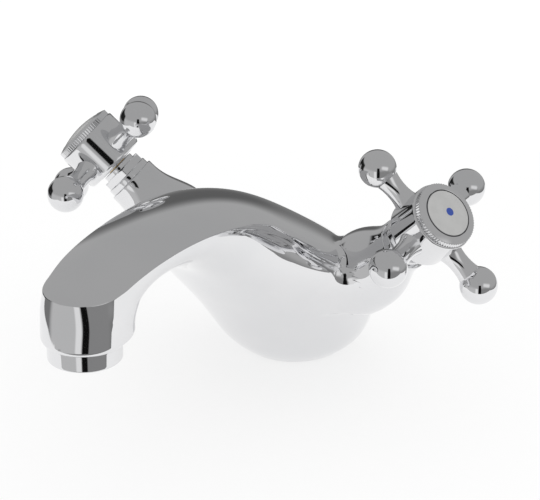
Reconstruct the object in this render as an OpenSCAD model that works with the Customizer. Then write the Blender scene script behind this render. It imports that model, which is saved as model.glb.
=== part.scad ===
/* [Spout] */
// Distance from the centre of the foot to the axis of the outlet
spout_reach = 143.2; // [125:0.1:160]
// Height of the top of the spout's arch above the deck
arch_top = 90.3; // [84:0.1:100]
// Width of the spout at the top of its arch
spout_w = 36.2; // [32:0.1:42]
// Width of the nozzle at its lower rim
nozzle_w = 30; // [28.5:0.1:34]
// Diameter of the water channel in the spout
channel_d = 7; // [5:0.1:8]

/* [Foot and shoulders] */
// Width of the foot where its rounded lower edge begins
foot_d = 54; // [52:0.1:58]
// Width of the body across the shoulders that carry the arms
shoulder_w = 85; // [78:0.1:92]
// Gap between the deck and the body, kept by the gasket
seal_stand = 0.6; // [0.4:0.1:1]
// Diameter of the gasket
base_seal_d = 38.4; // [37:0.1:39.4]
// Thickness of the gasket
base_seal_t = 1.6; // [1.2:0.1:2.4]
// Radial room in the gasket round each threaded hole
gasket_room = 0.6; // [0.4:0.1:1]

/* [Threaded holes] */
// Distance between the two inlet holes
inlet_pitch = 19; // [18:0.1:20]
// Distance of the inlet holes in front of the foot's centre
inlet_front = 7; // [5:0.1:8]
// Diameter of the wall of an inlet hole, for an M10 x 1 tail
inlet_d = 9; // [8.6:0.1:9.4]
// Depth of an inlet hole
inlet_depth = 12; // [9:0.1:13]
// Diameter of the riser above an inlet hole
riser_d = 7; // [6:0.1:8]
// Distance of the stud hole behind the foot's centre
stud_back = 10.5; // [9:0.1:12]
// Diameter of the wall of the stud hole, for an M8 stud
stud_hole_d = 6.8; // [6:0.1:7.4]
// Depth of the stud hole
stud_depth = 14; // [10:0.1:18]

/* [Arms] */
// Distance between the centres of the two handles
handle_pitch = 140.8; // [134:0.1:150]
// Distance of the handle centres in front of the foot's centre
handle_front = 26.1; // [23:0.1:29]
// Height of the handle centres above the deck
handle_z = 74.4; // [71:0.1:79]
// Angle of a valve axis above the deck
valve_rise = 42.2; // [39:0.1:45]
// Angle by which a valve axis is swept forwards
valve_sweep = 15.1; // [12:0.1:18]
// Diameter of an arm at its rim
rim_d = 20.3; // [20:0.1:21.5]
// Diameter of an arm where it is thickest
bulb_d = 31; // [30:0.1:35]
// Distance from the handle's centre down to the arm's rim
rim_drop = 14.6; // [14.2:0.1:16]

/* [Valves] */
// Diameter of the round collar above the rim
collar_d = 18.4; // [17.8:0.1:19]
// Height of the round collar
collar_h = 2.65; // [2:0.05:3]
// Width across the flats of the hexagon
hex_af = 17; // [16:0.1:17.6]
// Height of the hexagon
hex_h = 2.95; // [2.5:0.05:3.2]
// Diameter of the turret above the hexagon
turret_d = 13.8; // [12:0.1:15]
// Height of the turret
turret_h = 1.9; // [1.5:0.05:2]
// Diameter of the threaded barrel
barrel_d = 16.66; // [16:0.02:17]
// Length of the threaded barrel
barrel_l = 11.4; // [10:0.1:13]
// Diameter of the cartridge skirt that holds the ceramic discs
skirt_d = 14; // [13.4:0.1:14.6]
// Bore of the cartridge skirt
skirt_bore = 12; // [11.6:0.1:12.4]
// Diameter of the spindle
spindle_d = 8; // [7:0.1:8.4]
// Thickness of each ceramic disc
disc_t = 2.5; // [2:0.1:3]
// Thickness of the seat seal
seat_seal_t = 2.5; // [2:0.1:3]
// Diameter of the water way through the seat
seat_way_d = 7; // [6:0.1:8]

/* [Handles] */
// Distance from the handle's axis to the centre of a ball
ball_circle_r = 28; // [25:0.1:32]
// Diameter of a ball
ball_d = 14; // [12:0.1:15]
// Diameter of an arm of the cross at its waist
waist_d = 7.6; // [6:0.1:9]
// Diameter of an arm of the cross where it leaves the hub
root_d = 10; // [9:0.1:13]
// Diameter of the hub
hub_d = 25.6; // [24.8:0.1:28]
// Height of the hub above the ball plane
hub_up = 9.4; // [8.5:0.1:11]
// Height of the hub below the ball plane
hub_down = 6.5; // [6:0.1:6.8]
// Turn of the cold handle's cross about its axis when closed
cold_clock = 16.7; // [0:0.1:90]
// Turn of the hot handle's cross about its axis when closed
hot_clock = 69.3; // [0:0.1:90]
// Diameter of the handle screw's shank
screw_d = 4; // [3:0.1:4.5]

/* [Index] */
// Diameter of the knurled index ring
ring_d = 24.4; // [23:0.1:24.6]
// Height of the index ring above the hub
ring_h = 2.2; // [1.8:0.1:3]
// Number of teeth of the knurl
ring_teeth = 72; // [48:4:80]
// Depth of a tooth
tooth_depth = 0.35; // [0.2:0.05:0.5]
// Diameter of the index disc
disc_d = 18.3; // [17:0.1:18.8]
// Rise of the dome that the ring's bezel and the disc form above the knurl
dome_h = 2.3; // [1:0.1:3]

/* [Aerator] */
// Diameter of the visible skirt of the aerator
aerator_d = 26; // [25:0.1:26.3]
// Length of the visible skirt
aerator_skirt = 6.4; // [5:0.1:8]
// Diameter of the aerator's thread
aerator_thread_d = 23.8; // [23:0.1:24]
// Length of the aerator's thread
aerator_thread_l = 7; // [6:0.1:8]
// Wall of the aerator housing
aerator_wall = 1; // [0.8:0.05:1.2]
// Thickness of the aerator washer
aerator_washer_t = 1.8; // [1.4:0.1:2.2]

/* [Hidden] */
$fn = 64;
// Radial gap of a thread or a seated round piece
seat_gap = 0.1;
// Radial gap of a round piece that turns
run_gap = 0.05;
// Gap between flat faces of which one turns
face_gap = 0.05;
// Overshoot of a cut past the surface that it opens
cut = 1;

// The body is lofted through stations. Each is one half section and has four points in the plane
// of symmetry, as y and z: the keel below, the side where the section is widest, the crease where
// side and crown meet, and the crest on top. The side and the crease also have a distance x.
// The last values are the fullness of the hull, the roundness of the crease, and the zone.
foot_zone = 0;
shoulder_zone = 1;
arch_zone = 2;
nozzle_zone = 3;
stations = [
    // keel y, z       side y, z, x         crease y, z, x       crest y, z      full, round, zone
    [-20.5, 0.6,       0, 0.6, 20.5,        14.5, 0.6, 14.5,     20.5, 0.6,       2.0, 1, foot_zone],
    [-26.8, 5,         0, 5, 27,            19, 5, 19,           26.4, 5,         2.0, 1, foot_zone],
    [-30.4, 10,        -0.5, 11, 30.5,      19.6, 12, 21.4,      27.3, 11,        2.0, 1, foot_zone],
    [-35, 17,          -1.5, 19, 34.6,      18, 23, 24,          27.5, 21,        2.0, 1, shoulder_zone],
    [-40, 25,          -6, 30, 38.5,        10, 37, 28,          24.5, 34,        2.0, 1, shoulder_zone],
    [-48, 34.5,        -16, 43, 42.5,       -8, 50, 36,          11, 46.5,        2.1, 1, shoulder_zone],
    [-57, 44.5,        -31, 52.5, 41.5,     -26, 57.5, 39,       -9.2, 60.3,      2.1, 1, shoulder_zone],
    [-67, 54,          -48, 60, 34.5,       -44.5, 64.5, 31.8,   -27.8, 72.2,     2.1, 0.3, shoulder_zone],
    [-76.5, 61.5,      -54, 73, 28.3,       -51, 75.5, 27.3,     -44, 81.6,       2.1, 0, arch_zone],
    [-86, 67,          -65, 79, 23,         -64, 80.8, 22.8,     -61, 86.8,       2.1, 0, arch_zone],
    [-95, 71,          -82.5, 83.3, 19.8,   -82, 84.4, 19.8,     -82, 89.6,       2.1, 0, arch_zone],
    [-104, 73.5,       -102, 85, 18.1,      -102, 86, 18.1,      -102, 90.3,      2.1, 0, arch_zone],
    [-111.5, 74.6,     -117.5, 84.5, 17,    -118, 85.8, 17,      -118, 89.3,      2.2, 0, arch_zone],
    [-117.5, 74.2,     -129, 81.8, 15.7,    -131, 84.3, 15.5,    -131, 86.8,      2.3, 0, nozzle_zone],
    [-121.5, 72.6,     -136, 77.5, 15.2,    -141, 81.9, 13.9,    -141, 84,        2.4, 0, nozzle_zone],
    [-123.3, 70.3,     -140, 73.6, 15,      -148.9, 80.8, 12.3,  -148.9, 82.2,    2.5, 0, nozzle_zone],
    [-124.2, 68,       -142.3, 70.4, 15,    -154.6, 80.5, 7.1,   -154.6, 81,      2.5, 0, nozzle_zone],
    [-124.6, 66.4,     -143.2, 68, 15,      -156.6, 80.4, 0,     -156.6, 80.4,    2.5, 0, nozzle_zone],
    [-124.8, 65.1,     -143.2, 66.2, 15.1,  -157.2, 73.5, 0,     -157.2, 73.5,    2.5, 0, nozzle_zone],
    [-125, 63.8,       -143.2, 64, 15.1,    -158, 66, 0,         -158, 66,        2.5, 0, nozzle_zone],
    [-125.6, 62.6,     -143.2, 62.6, 14.7,  -157.6, 63, 0,       -157.6, 63,      2.5, 0, nozzle_zone],
    [-127.5, 61.8,     -143.2, 61.8, 13.2,  -156, 61.8, 0,       -156, 61.8,      2.4, 0, nozzle_zone],
];
// The sizes for which the stations are drawn
drawn_reach = 143.2;
drawn_top = 90.3;
drawn_widths = [54, 85, 36.2, 30];
widths = [foot_d, shoulder_w, spout_w, nozzle_w];
// The station at which the crease ends at the front of the nozzle
tip_station = 17;
// Steps of the loft between two stations, and round a half section
steps = 2;
hull_steps = 9;
side_steps = 6;
crown_steps = 6;
half_steps = hull_steps + side_steps + crown_steps;
ring_points = 2 * half_steps;

function clamp01(v) = min(1, max(0, v));
// A change of reach moves the nozzle and stretches the spout between it and the foot
function reach_y(y) = y - (spout_reach - drawn_reach) * clamp01((-y - 40) / 70);
// A change of height raises the spout and stretches the body above the foot
function arch_z(z) = z + (arch_top - drawn_top) * clamp01((z - 12) / 48);
// A change of nozzle or foot width also moves their points along the body
function width_factor(s) = widths[s[12]] / drawn_widths[s[12]];
function wide_y(y, s) =
    s[12] == foot_zone ? y * width_factor(s)
    : s[12] == nozzle_zone ? -spout_reach + (reach_y(y) + spout_reach) * width_factor(s)
    : reach_y(y);
function placed(s) = [
    wide_y(s[0], s), arch_z(s[1]),
    wide_y(s[2], s), arch_z(s[3]), s[4] * width_factor(s),
    wide_y(s[5], s), arch_z(s[6]), s[7] * width_factor(s),
    wide_y(s[8], s), arch_z(s[9]),
    s[10], s[11]
];
sized = [for (s = stations) placed(s)];
last = len(sized) - 1;

// Stations between the drawn ones lie on a smooth curve through their neighbours
function near(i) =
    i < 0 ? 2 * sized[0] - sized[1]
    : i > last ? 2 * sized[last] - sized[last - 1]
    : sized[i];
function smooth(a, b, c, d, t) =
    (2 * b + (c - a) * t + (2 * a - 5 * b + 4 * c - d) * t * t
    + (3 * b - a - 3 * c + d) * t * t * t) / 2;
function station(u) =
    let (i = min(last - 1, floor(u)))
    smooth(near(i - 1), near(i), near(i + 1), near(i + 2), u - i);

// Hull: a quarter of a superellipse from the keel to the side
function hull_point(s, k) =
    let (a = 90 * k / hull_steps, e = 2 / s[10], f = 1 - pow(cos(a), e))
    [s[4] * pow(sin(a), e), s[0] + (s[2] - s[0]) * f, s[1] + (s[3] - s[1]) * f];
// Side: a curve from the side to the crease, which turns into the crown where it is round
function side_point(s, k) =
    let (
        t = k / side_steps,
        round_share = clamp01(s[11]),
        over = 2 * (s[4] - s[7]) / max(s[7], 4),
        bend_y = (1 - round_share) * (s[2] + s[5]) / 2 + round_share * (s[5] + over * (s[5] - s[8])),
        bend_z = (1 - round_share) * (s[3] + s[6]) / 2 + round_share * (s[6] + over * (s[6] - s[9])),
        b0 = (1 - t) * (1 - t),
        b1 = 2 * t * (1 - t),
        b2 = t * t
    )
    [(b0 + b1) * s[4] + b2 * s[7], b0 * s[2] + b1 * bend_y + b2 * s[5],
     b0 * s[3] + b1 * bend_z + b2 * s[6]];
// Round the front of the nozzle the side follows a circle in plan
function nose_point(s, k) =
    let (t = k / side_steps, whole = acos(clamp01(max(0, s[7]) / s[4])), a = whole * t)
    [s[4] * cos(a), s[2] + (s[5] - s[2]) * sin(a) / max(sin(whole), 0.001),
     side_point(s, k)[2]];
function wall_point(s, k) =
    let (w = clamp01((-spout_reach - s[5] + 6) / 8))
    (1 - w) * side_point(s, k) + w * nose_point(s, k);
// Crown: a parabola across the top, from the crease to the crest
function crown_point(s, k) =
    let (t = 1 - k / crown_steps, q = t * t)
    [max(0, s[7]) * t, s[8] + (s[5] - s[8]) * q, s[9] + (s[6] - s[9]) * q];
function half_point(s, j) =
    j <= hull_steps ? hull_point(s, j)
    : j <= hull_steps + side_steps ? wall_point(s, j - hull_steps)
    : crown_point(s, j - hull_steps - side_steps);
function ring_point(s, j) =
    j <= half_steps ? half_point(s, j)
    : let (p = half_point(s, ring_points - j)) [-p[0], p[1], p[2]];

rows = last * steps;
crease_j = hull_steps + side_steps;
skin_points = [
    for (i = [0 : rows]) let (s = station(i / steps)) for (j = [0 : ring_points - 1]) ring_point(s, j)
];
// Past the tip of the crease there is no crown, so its points join the front point of the wall
function skin_id(i, j) =
    let (k = j % ring_points)
    i * ring_points
    + (i >= tip_station * steps && k > crease_j && k <= ring_points - crease_j ? crease_j : k);
function is_face(f) = f[0] != f[1] && f[1] != f[2] && f[0] != f[2];
skin_sides = [
    for (i = [0 : rows - 1], j = [0 : ring_points - 1])
        let (
            a = skin_id(i, j),
            b = skin_id(i, j + 1),
            c = skin_id(i + 1, j + 1),
            d = skin_id(i + 1, j)
        )
        each [[a, c, b], [a, d, c]]
];
skin_caps = [
    for (j = [1 : ring_points - 2])
        each [
            [skin_id(0, 0), skin_id(0, j), skin_id(0, j + 1)],
            [skin_id(rows, 0), skin_id(rows, j + 1), skin_id(rows, j)]
        ]
];
skin_faces = [for (f = concat(skin_sides, skin_caps)) if (is_face(f)) f];

// Valve stack, as distances along the valve axis from the handle's ball plane, outwards positive
rim_at = -rim_drop;
collar_top = rim_at + collar_h;
hex_top = collar_top + hex_h;
turret_top = hex_top + turret_h;
barrel_end = rim_at - barrel_l;
hub_bottom = -hub_down;
seal_ring_t = 1.3;
seal_ring_gap = 0.02;
counterbore_d = barrel_d + 0.34;
neck_d = counterbore_d - 2 * seal_ring_t - 4 * seal_ring_gap;
neck_l = seal_ring_t + 2 * seal_ring_gap;
foot_h = 2.5;
tongue_h = 1;
skirt_l = 12.5;
seat_at = barrel_end - skirt_l - seat_seal_t;
fixed_disc_at = seat_at + seat_seal_t;
turning_disc_at = fixed_disc_at + disc_t + face_gap;
spindle_foot_at = turning_disc_at + disc_t;
window_at = spindle_foot_at + foot_h / 2;
window_h = 4;
window_w = 8;
chamber_d = barrel_d - 1.4;
port_r_in = 1.2;
port_r_out = 4.6;
port_angle = 78;
disc_side = skirt_bore / 2 - seat_gap;
shoulder_h = 1.8;

// Handle inside the hub
spindle_top = 1.3;
socket_top = spindle_top + 0.2;
web_top = 4.6;
recess_d = 19.2;
screw_head_d = 7.2;
screw_head_h = 2.4;
screw_l = 9.5;
clip_t = 0.9;
clip_at = turret_top + 0.25;
clip_groove_d = spindle_d - 1.2;
clip_d = 11;
clip_recess_d = clip_d + 1;
clip_recess_top = clip_at + clip_t + 0.3;
oring_r = 0.62;
oring_gap = 0.02;
oring_at = barrel_end + 6;
oring_circle_r = spindle_d / 2 + run_gap - oring_r - oring_gap;
hub_round = 1.5;
ball_r = ball_d / 2;
hub_r = hub_d / 2;
waist_at = (hub_r + ball_circle_r - ball_r) / 2 + 0.4;
spigot_l = 3.2;
ring_top = hub_up + ring_h;
disc_seat = hub_up + 0.6;
disc_ledge = 1.2;
// Sphere of the dome, and how deep the disc lies below it
cap_r = ring_d / 2 - tooth_depth;
dome_r = (cap_r * cap_r + dome_h * dome_h) / (2 * dome_h);
dome_centre = ring_top + dome_h - dome_r;
disc_sunk = 0.15;
bezel_in = 0.15;
mark_groove_r = disc_d / 2 - 0.8;
mark_groove_w = 0.3;

// Water ways
mix_r = 16.5;
mix_front = 36;
mix_up = 53;
mix_z = arch_z(mix_up);
core_z = 14;
core_front = 22;
core_r = 6;
outlet_l = 29;
outlet_way_d = 6;
knee_z = 21;
knee_r = 6;
nozzle_z = sized[last][1];
nozzle_bore_top = nozzle_z + aerator_thread_l + aerator_washer_t;
nozzle_room_h = 5;
nozzle_room_d = 15;
// Extra width of the channel at a knee
knee_extra = 0.6;
channel_stations = [7.6, 9, 10.5, 12, 13.4];
function channel_point(u) = let (s = station(u)) [0, (s[0] + s[8]) / 2, (s[1] + s[9]) / 2];
channel = concat(
    [[0, -mix_front, mix_z]],
    [for (u = channel_stations) channel_point(u)],
    [[0, -spout_reach, nozzle_bore_top + nozzle_room_h / 3]]
);

// The hot side is at -X and the cold side at +X
hot = -1;
cold = 1;
function valve_heading(side) = side == cold ? -valve_sweep : 180 + valve_sweep;
function clock(side) = side == cold ? cold_clock : hot_clock;

// Puts a piece that is drawn along +Z from the ball plane onto the valve axis of one side
module on_valve(side) {
    translate([side * handle_pitch / 2, -handle_front, handle_z])
        rotate([0, 90 - valve_rise, valve_heading(side)])
            children();
}

// Round bar between two points, which may change its width to a second diameter
module bar(a, b, d, d_end = 0) {
    v = b - a;
    translate(a)
        rotate([0, acos(v[2] / norm(v)), atan2(v[1], v[0])])
            cylinder(h = norm(v), d1 = d, d2 = d_end > 0 ? d_end : d);
}

// Cylinder whose base lies at a height on the axis
module plug(from, to, d) {
    translate([0, 0, from]) cylinder(h = to - from, d = d);
}

module torus(at, circle_r, section_r) {
    translate([0, 0, at])
        rotate_extrude()
            translate([circle_r, 0])
                circle(r = section_r);
}

module flat_ring(from, to, outer_d, inner_d) {
    difference() {
        plug(from, to, outer_d);
        plug(from - cut, to + cut, inner_d);
    }
}

// Lengths along the axis from an arm's rim: its straight neck, where it is thickest from and to,
// its whole length with the end inside the body, and the rounding of that end
arm_neck_l = 0.9;
arm_swell_l = 25.4;
arm_bulb_l = 27.4;
arm_l = 45.4;
bulb_tail = 24;
swell_from = rim_drop + arm_neck_l;
swell_to = rim_drop + arm_swell_l;
bulb_to = rim_drop + arm_bulb_l;
arm_end = rim_drop + arm_l;
function ease(t) = t * t * (3 - 2 * t);
function arm_r(s) =
    s <= swell_from ? rim_d / 2
    : s < swell_to ? rim_d / 2 + (bulb_d - rim_d) / 2 * ease((s - swell_from) / (swell_to - swell_from))
    : s <= bulb_to ? bulb_d / 2
    : bulb_d / 2 * sqrt(1 - pow((s - bulb_to) / bulb_tail, 2));
arm_steps = 9;
arm_outline = concat(
    [[0, -rim_drop], [rim_d / 2, -rim_drop]],
    [for (i = [0 : arm_steps])
        let (s = swell_from + (swell_to - swell_from) * i / arm_steps) [arm_r(s), -s]],
    [for (i = [0 : 4]) let (s = bulb_to + (arm_end - bulb_to) * i / 4) [arm_r(s), -s]],
    [[0, -arm_end]]
);

module skin() {
    polyhedron(points = skin_points, faces = skin_faces, convexity = 8);
}

module arm(side) {
    on_valve(side)
        rotate_extrude()
            polygon(arm_outline);
}

// Seat, chamber and threaded mouth of one valve
module valve_room(side) {
    on_valve(side) {
        plug(rim_at - neck_l, rim_at + cut, counterbore_d);
        plug(barrel_end - seat_gap, rim_at + cut, barrel_d + 2 * seat_gap);
        plug(seat_at, barrel_end, chamber_d);
    }
}

function valve_point(side, w) =
    let (
        out = [
            side * cos(valve_rise) * cos(valve_sweep),
            -cos(valve_rise) * sin(valve_sweep),
            sin(valve_rise)
        ]
    )
    [side * handle_pitch / 2, -handle_front, handle_z] + w * out;

// Water ways of one side: foot to seat by a knee, and valve chamber to mixing chamber
module side_ways(side) {
    riser = [side * inlet_pitch / 2, -inlet_front, knee_z];
    meet = valve_point(side, (knee_z - handle_z) / sin(valve_rise));
    translate([riser[0], riser[1], 0]) {
        plug(0, base_seal_t + inlet_depth, inlet_d);
        plug(0, knee_z, riser_d);
    }
    translate((meet + riser) / 2) sphere(r = knee_r);
    bar(meet, valve_point(side, seat_at + cut), seat_way_d);
    bar(valve_point(side, -outlet_l), [0, -mix_front, mix_z], outlet_way_d);
}

// Mixing chamber, with a core towards the foot that keeps the casting's wall even
module mixing_room() {
    translate([0, -mix_front, mix_z]) sphere(r = mix_r);
    bar([0, -core_front, core_z], [0, -mix_front, mix_z], 2 * core_r, 2 * mix_r * 0.9);
}

module spout_channel() {
    for (i = [0 : len(channel) - 2]) {
        bar(channel[i], channel[i + 1], channel_d);
        translate(channel[i + 1]) sphere(d = channel_d + knee_extra);
    }
}

module nozzle_room() {
    translate([0, -spout_reach, 0]) {
        plug(nozzle_z - cut, nozzle_bore_top, aerator_thread_d + 2 * seat_gap);
        plug(nozzle_z, nozzle_bore_top + nozzle_room_h, nozzle_room_d);
    }
}

module body() {
    color("silver")
        difference() {
            union() {
                skin();
                arm(hot);
                arm(cold);
            }
            valve_room(hot);
            valve_room(cold);
            side_ways(hot);
            side_ways(cold);
            mixing_room();
            spout_channel();
            nozzle_room();
            translate([0, stud_back, 0]) plug(0, base_seal_t + stud_depth, stud_hole_d);
            plug(-cut, base_seal_t, base_seal_d + 2 * seat_gap);
        }
}

// Flat gasket between foot and deck, open at the threaded holes
module base_seal() {
    color("dimgray")
        difference() {
            plug(0, base_seal_t, base_seal_d);
            for (side = [hot, cold])
                translate([side * inlet_pitch / 2, -inlet_front, 0])
                    plug(-cut, base_seal_t + cut, inlet_d + 2 * gasket_room);
            translate([0, stud_back, 0])
                plug(-cut, base_seal_t + cut, stud_hole_d + 2 * gasket_room);
        }
}

aerator_bottom = nozzle_z - aerator_skirt;
aerator_thread_top = nozzle_z + aerator_thread_l;
aerator_bore_d = aerator_thread_d - 2 * aerator_wall;
aerator_chamfer = 0.6;
aerator_lip_h = 1.2;
aerator_lip_d = aerator_bore_d - 1.6;
cartridge_d = aerator_bore_d - 2 * seat_gap;
cartridge_bottom = aerator_bottom + aerator_lip_h;

module aerator_housing() {
    color("silver")
        translate([0, -spout_reach, 0])
            difference() {
                union() {
                    plug(aerator_bottom + aerator_chamfer, nozzle_z, aerator_d);
                    translate([0, 0, aerator_bottom])
                        cylinder(h = aerator_chamfer, d1 = aerator_d - 2 * aerator_chamfer, d2 = aerator_d);
                    plug(nozzle_z, aerator_thread_top, aerator_thread_d);
                }
                plug(cartridge_bottom, aerator_thread_top + cut, aerator_bore_d);
                plug(aerator_bottom - cut, aerator_thread_top, aerator_lip_d);
            }
}

// Plastic flow straightener: a ring, a hub and spokes below, and a perforated dosing plate on top
straightener_h = 5;
spokes = 12;
dosing_holes = 10;
module aerator_cartridge() {
    color("gray")
        translate([0, -spout_reach, 0]) {
            flat_ring(cartridge_bottom, aerator_thread_top - 1.5, cartridge_d, cartridge_d - 2);
            flat_ring(cartridge_bottom, cartridge_bottom + straightener_h, 11, 9.6);
            plug(cartridge_bottom, cartridge_bottom + straightener_h, 3);
            for (k = [0 : spokes - 1])
                rotate([0, 0, 360 / spokes * k])
                    translate([1, -0.3, cartridge_bottom])
                        cube([cartridge_d / 2 - 1.5, 0.6, straightener_h]);
            difference() {
                plug(aerator_thread_top - 1.5, aerator_thread_top, cartridge_d);
                for (k = [0 : dosing_holes - 1])
                    rotate([0, 0, 360 / dosing_holes * k])
                        translate([cartridge_d / 3, 0, 0])
                            plug(aerator_thread_top - 1.5 - cut, aerator_thread_top + cut, 1.6);
            }
        }
}

module aerator_washer() {
    color("black")
        translate([0, -spout_reach, 0])
            flat_ring(aerator_thread_top, nozzle_bore_top, aerator_thread_d, aerator_thread_d - 6);
}

// Gland of one valve, with the collar, the hexagon, the turret, the threaded barrel and the skirt
module valve_body(side) {
    on_valve(side)
        difference() {
            union() {
                plug(rim_at, collar_top, collar_d);
                translate([0, 0, collar_top]) cylinder(h = hex_h, d = hex_af / cos(30), $fn = 6);
                plug(hex_top, turret_top, turret_d);
                plug(rim_at - neck_l, rim_at, neck_d);
                plug(barrel_end, rim_at - neck_l, barrel_d);
                plug(fixed_disc_at, barrel_end, skirt_d);
            }
            plug(fixed_disc_at - cut, barrel_end, skirt_bore);
            plug(fixed_disc_at, turret_top + cut, spindle_d + 2 * run_gap);
            for (turn = [0, 90])
                rotate([0, 0, turn])
                    translate([-skirt_d, -window_w / 2, window_at])
                        cube([2 * skirt_d, window_w, window_h]);
        }
}

module hot_valve_body() { color("silver") valve_body(hot); }
module cold_valve_body() { color("silver") valve_body(cold); }

module body_seal(side) {
    on_valve(side)
        torus(rim_at - neck_l / 2, neck_d / 2 + seal_ring_gap + seal_ring_t / 2, seal_ring_t / 2);
}

module hot_body_seal() { color("black") body_seal(hot); }
module cold_body_seal() { color("black") body_seal(cold); }

module seat_seal(side) {
    on_valve(side)
        flat_ring(seat_at, fixed_disc_at, skirt_d, seat_way_d);
}

module hot_seat_seal() { color("black") seat_seal(hot); }
module cold_seat_seal() { color("black") seat_seal(cold); }

// Two opposite ports through a ceramic disc
module ports(turn) {
    for (half = [0, 180])
        rotate([0, 0, turn + half])
            linear_extrude(height = disc_t + 2 * cut)
                polygon(concat(
                    [for (i = [0 : 6]) let (a = port_angle * (i / 6 - 0.5)) port_r_out * [cos(a), sin(a)]],
                    [for (i = [6 : -1 : 0]) let (a = port_angle * (i / 6 - 0.5)) port_r_in * [cos(a), sin(a)]]
                ));
}

module fixed_disc(side) {
    on_valve(side)
        difference() {
            plug(fixed_disc_at, fixed_disc_at + disc_t, 2 * disc_side);
            translate([0, 0, fixed_disc_at - cut]) ports(0);
        }
}

module hot_fixed_disc() { color("ivory") fixed_disc(hot); }
module cold_fixed_disc() { color("ivory") fixed_disc(cold); }

// Closed at rest: its ports stand across those of the fixed disc
tongue_w = 2;
module turning_disc(side) {
    on_valve(side)
        difference() {
            plug(turning_disc_at, turning_disc_at + disc_t, 2 * disc_side);
            translate([0, 0, turning_disc_at - cut]) ports(90);
            translate([-disc_side - cut, -tongue_w / 2, spindle_foot_at - tongue_h])
                cube([2 * (disc_side + cut), tongue_w, tongue_h + cut]);
        }
}

module hot_turning_disc() { color("ivory") turning_disc(hot); }
module cold_turning_disc() { color("ivory") turning_disc(cold); }

// Spindle with its driving foot below and the tapped end in the hub
module spindle(side) {
    on_valve(side)
        difference() {
            union() {
                plug(spindle_foot_at, spindle_top, spindle_d);
                plug(barrel_end - face_gap - shoulder_h, barrel_end - face_gap, 2 * disc_side);
                intersection() {
                    plug(spindle_foot_at, spindle_foot_at + foot_h, 2 * disc_side);
                    translate([-disc_side, -spindle_d / 3, spindle_foot_at])
                        cube([2 * disc_side, spindle_d / 1.5, foot_h]);
                }
                intersection() {
                    plug(spindle_foot_at - tongue_h, spindle_foot_at, 2 * disc_side);
                    translate([-disc_side, -tongue_w / 2, spindle_foot_at - tongue_h])
                        cube([2 * disc_side, tongue_w, tongue_h]);
                }
            }
            flat_ring(clip_at, clip_at + clip_t, spindle_d + cut, clip_groove_d);
            flat_ring(
                oring_at - oring_r - oring_gap, oring_at + oring_r + oring_gap,
                spindle_d + cut, 2 * (oring_circle_r - oring_r - oring_gap)
            );
            plug(web_top - screw_l - 0.5, spindle_top + cut, screw_d + 2 * run_gap);
        }
}

module hot_spindle() { color("goldenrod") spindle(hot); }
module cold_spindle() { color("goldenrod") spindle(cold); }

module spindle_oring(side) {
    on_valve(side)
        torus(oring_at, oring_circle_r, oring_r);
}

module hot_spindle_oring() { color("black") spindle_oring(hot); }
module cold_spindle_oring() { color("black") spindle_oring(cold); }

// Open clip that snaps into the spindle's groove above the turret
module spindle_clip(side) {
    on_valve(side)
        difference() {
            flat_ring(clip_at + face_gap, clip_at + clip_t - face_gap, clip_d, clip_groove_d + 2 * run_gap);
            translate([0, -clip_groove_d / 3, clip_at - cut])
                cube([clip_d, clip_groove_d / 1.5, clip_t + 2 * cut]);
        }
}

module hot_spindle_clip() { color("slategray") spindle_clip(hot); }
module cold_spindle_clip() { color("slategray") spindle_clip(cold); }

// Outline of one arm of the cross: from the hub it narrows to the waist and widens to the ball
neck_steps = 8;
arm_from = hub_r - 3;
ball_from = ball_circle_r - ball_r * 0.75;
function neck_r(x) =
    let (reach = x < waist_at ? waist_at - hub_r + 1 : ball_from - waist_at,
         grow = x < waist_at ? (root_d - waist_d) / 2 : ball_r * 0.64 - waist_d / 2)
    waist_d / 2 + grow * pow(abs(x - waist_at) / reach, 2);
neck_outline = concat(
    [[0, arm_from]],
    [for (i = [0 : neck_steps])
        let (x = arm_from + 2 + (ball_from - arm_from - 2) * i / neck_steps) [neck_r(x), x]],
    [[0, ball_circle_r]]
);

// Hub outline: a bell with rounded edges
function arc(x, y, r, from, to) =
    [for (i = [0 : 5]) let (a = from + (to - from) * i / 5) [x + r * cos(a), y + r * sin(a)]];
hub_outline = concat(
    [[0, hub_bottom]],
    arc(hub_r - hub_round, hub_bottom + hub_round, hub_round, -90, 0),
    arc(hub_r - hub_round / 2, hub_up - hub_round / 2, hub_round / 2, 0, 90),
    [[0, hub_up]]
);

module handle(side) {
    on_valve(side)
        difference() {
            union() {
                rotate_extrude() polygon(hub_outline);
                for (k = [0 : 3])
                    rotate([0, 0, clock(side) + 90 * k])
                        rotate([0, 90, 0]) {
                            rotate_extrude() polygon(neck_outline);
                            translate([0, 0, ball_circle_r]) sphere(r = ball_r);
                        }
            }
            plug(hub_bottom - cut, socket_top, spindle_d + 2 * run_gap);
            plug(hub_bottom - cut, clip_recess_top, clip_recess_d);
            plug(socket_top - cut, web_top + cut, screw_d + 0.4);
            plug(web_top, hub_up + cut, recess_d);
        }
}

module hot_handle() { color("silver") handle(hot); }
module cold_handle() { color("silver") handle(cold); }

module handle_screw(side) {
    on_valve(side)
        difference() {
            union() {
                plug(web_top, web_top + screw_head_h, screw_head_d);
                plug(web_top - screw_l, web_top, screw_d);
            }
            translate([-screw_head_d, -0.5, web_top + screw_head_h - 1.2])
                cube([2 * screw_head_d, 1, 2]);
        }
}

module hot_handle_screw() { color("slategray") handle_screw(hot); }
module cold_handle_screw() { color("slategray") handle_screw(cold); }

// Part of the dome above a height, as wide as a diameter, sunk by a depth
module dome(from, d, sunk) {
    intersection() {
        plug(from, ring_top + dome_h, d);
        translate([0, 0, dome_centre - sunk]) sphere(r = dome_r);
    }
}

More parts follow.
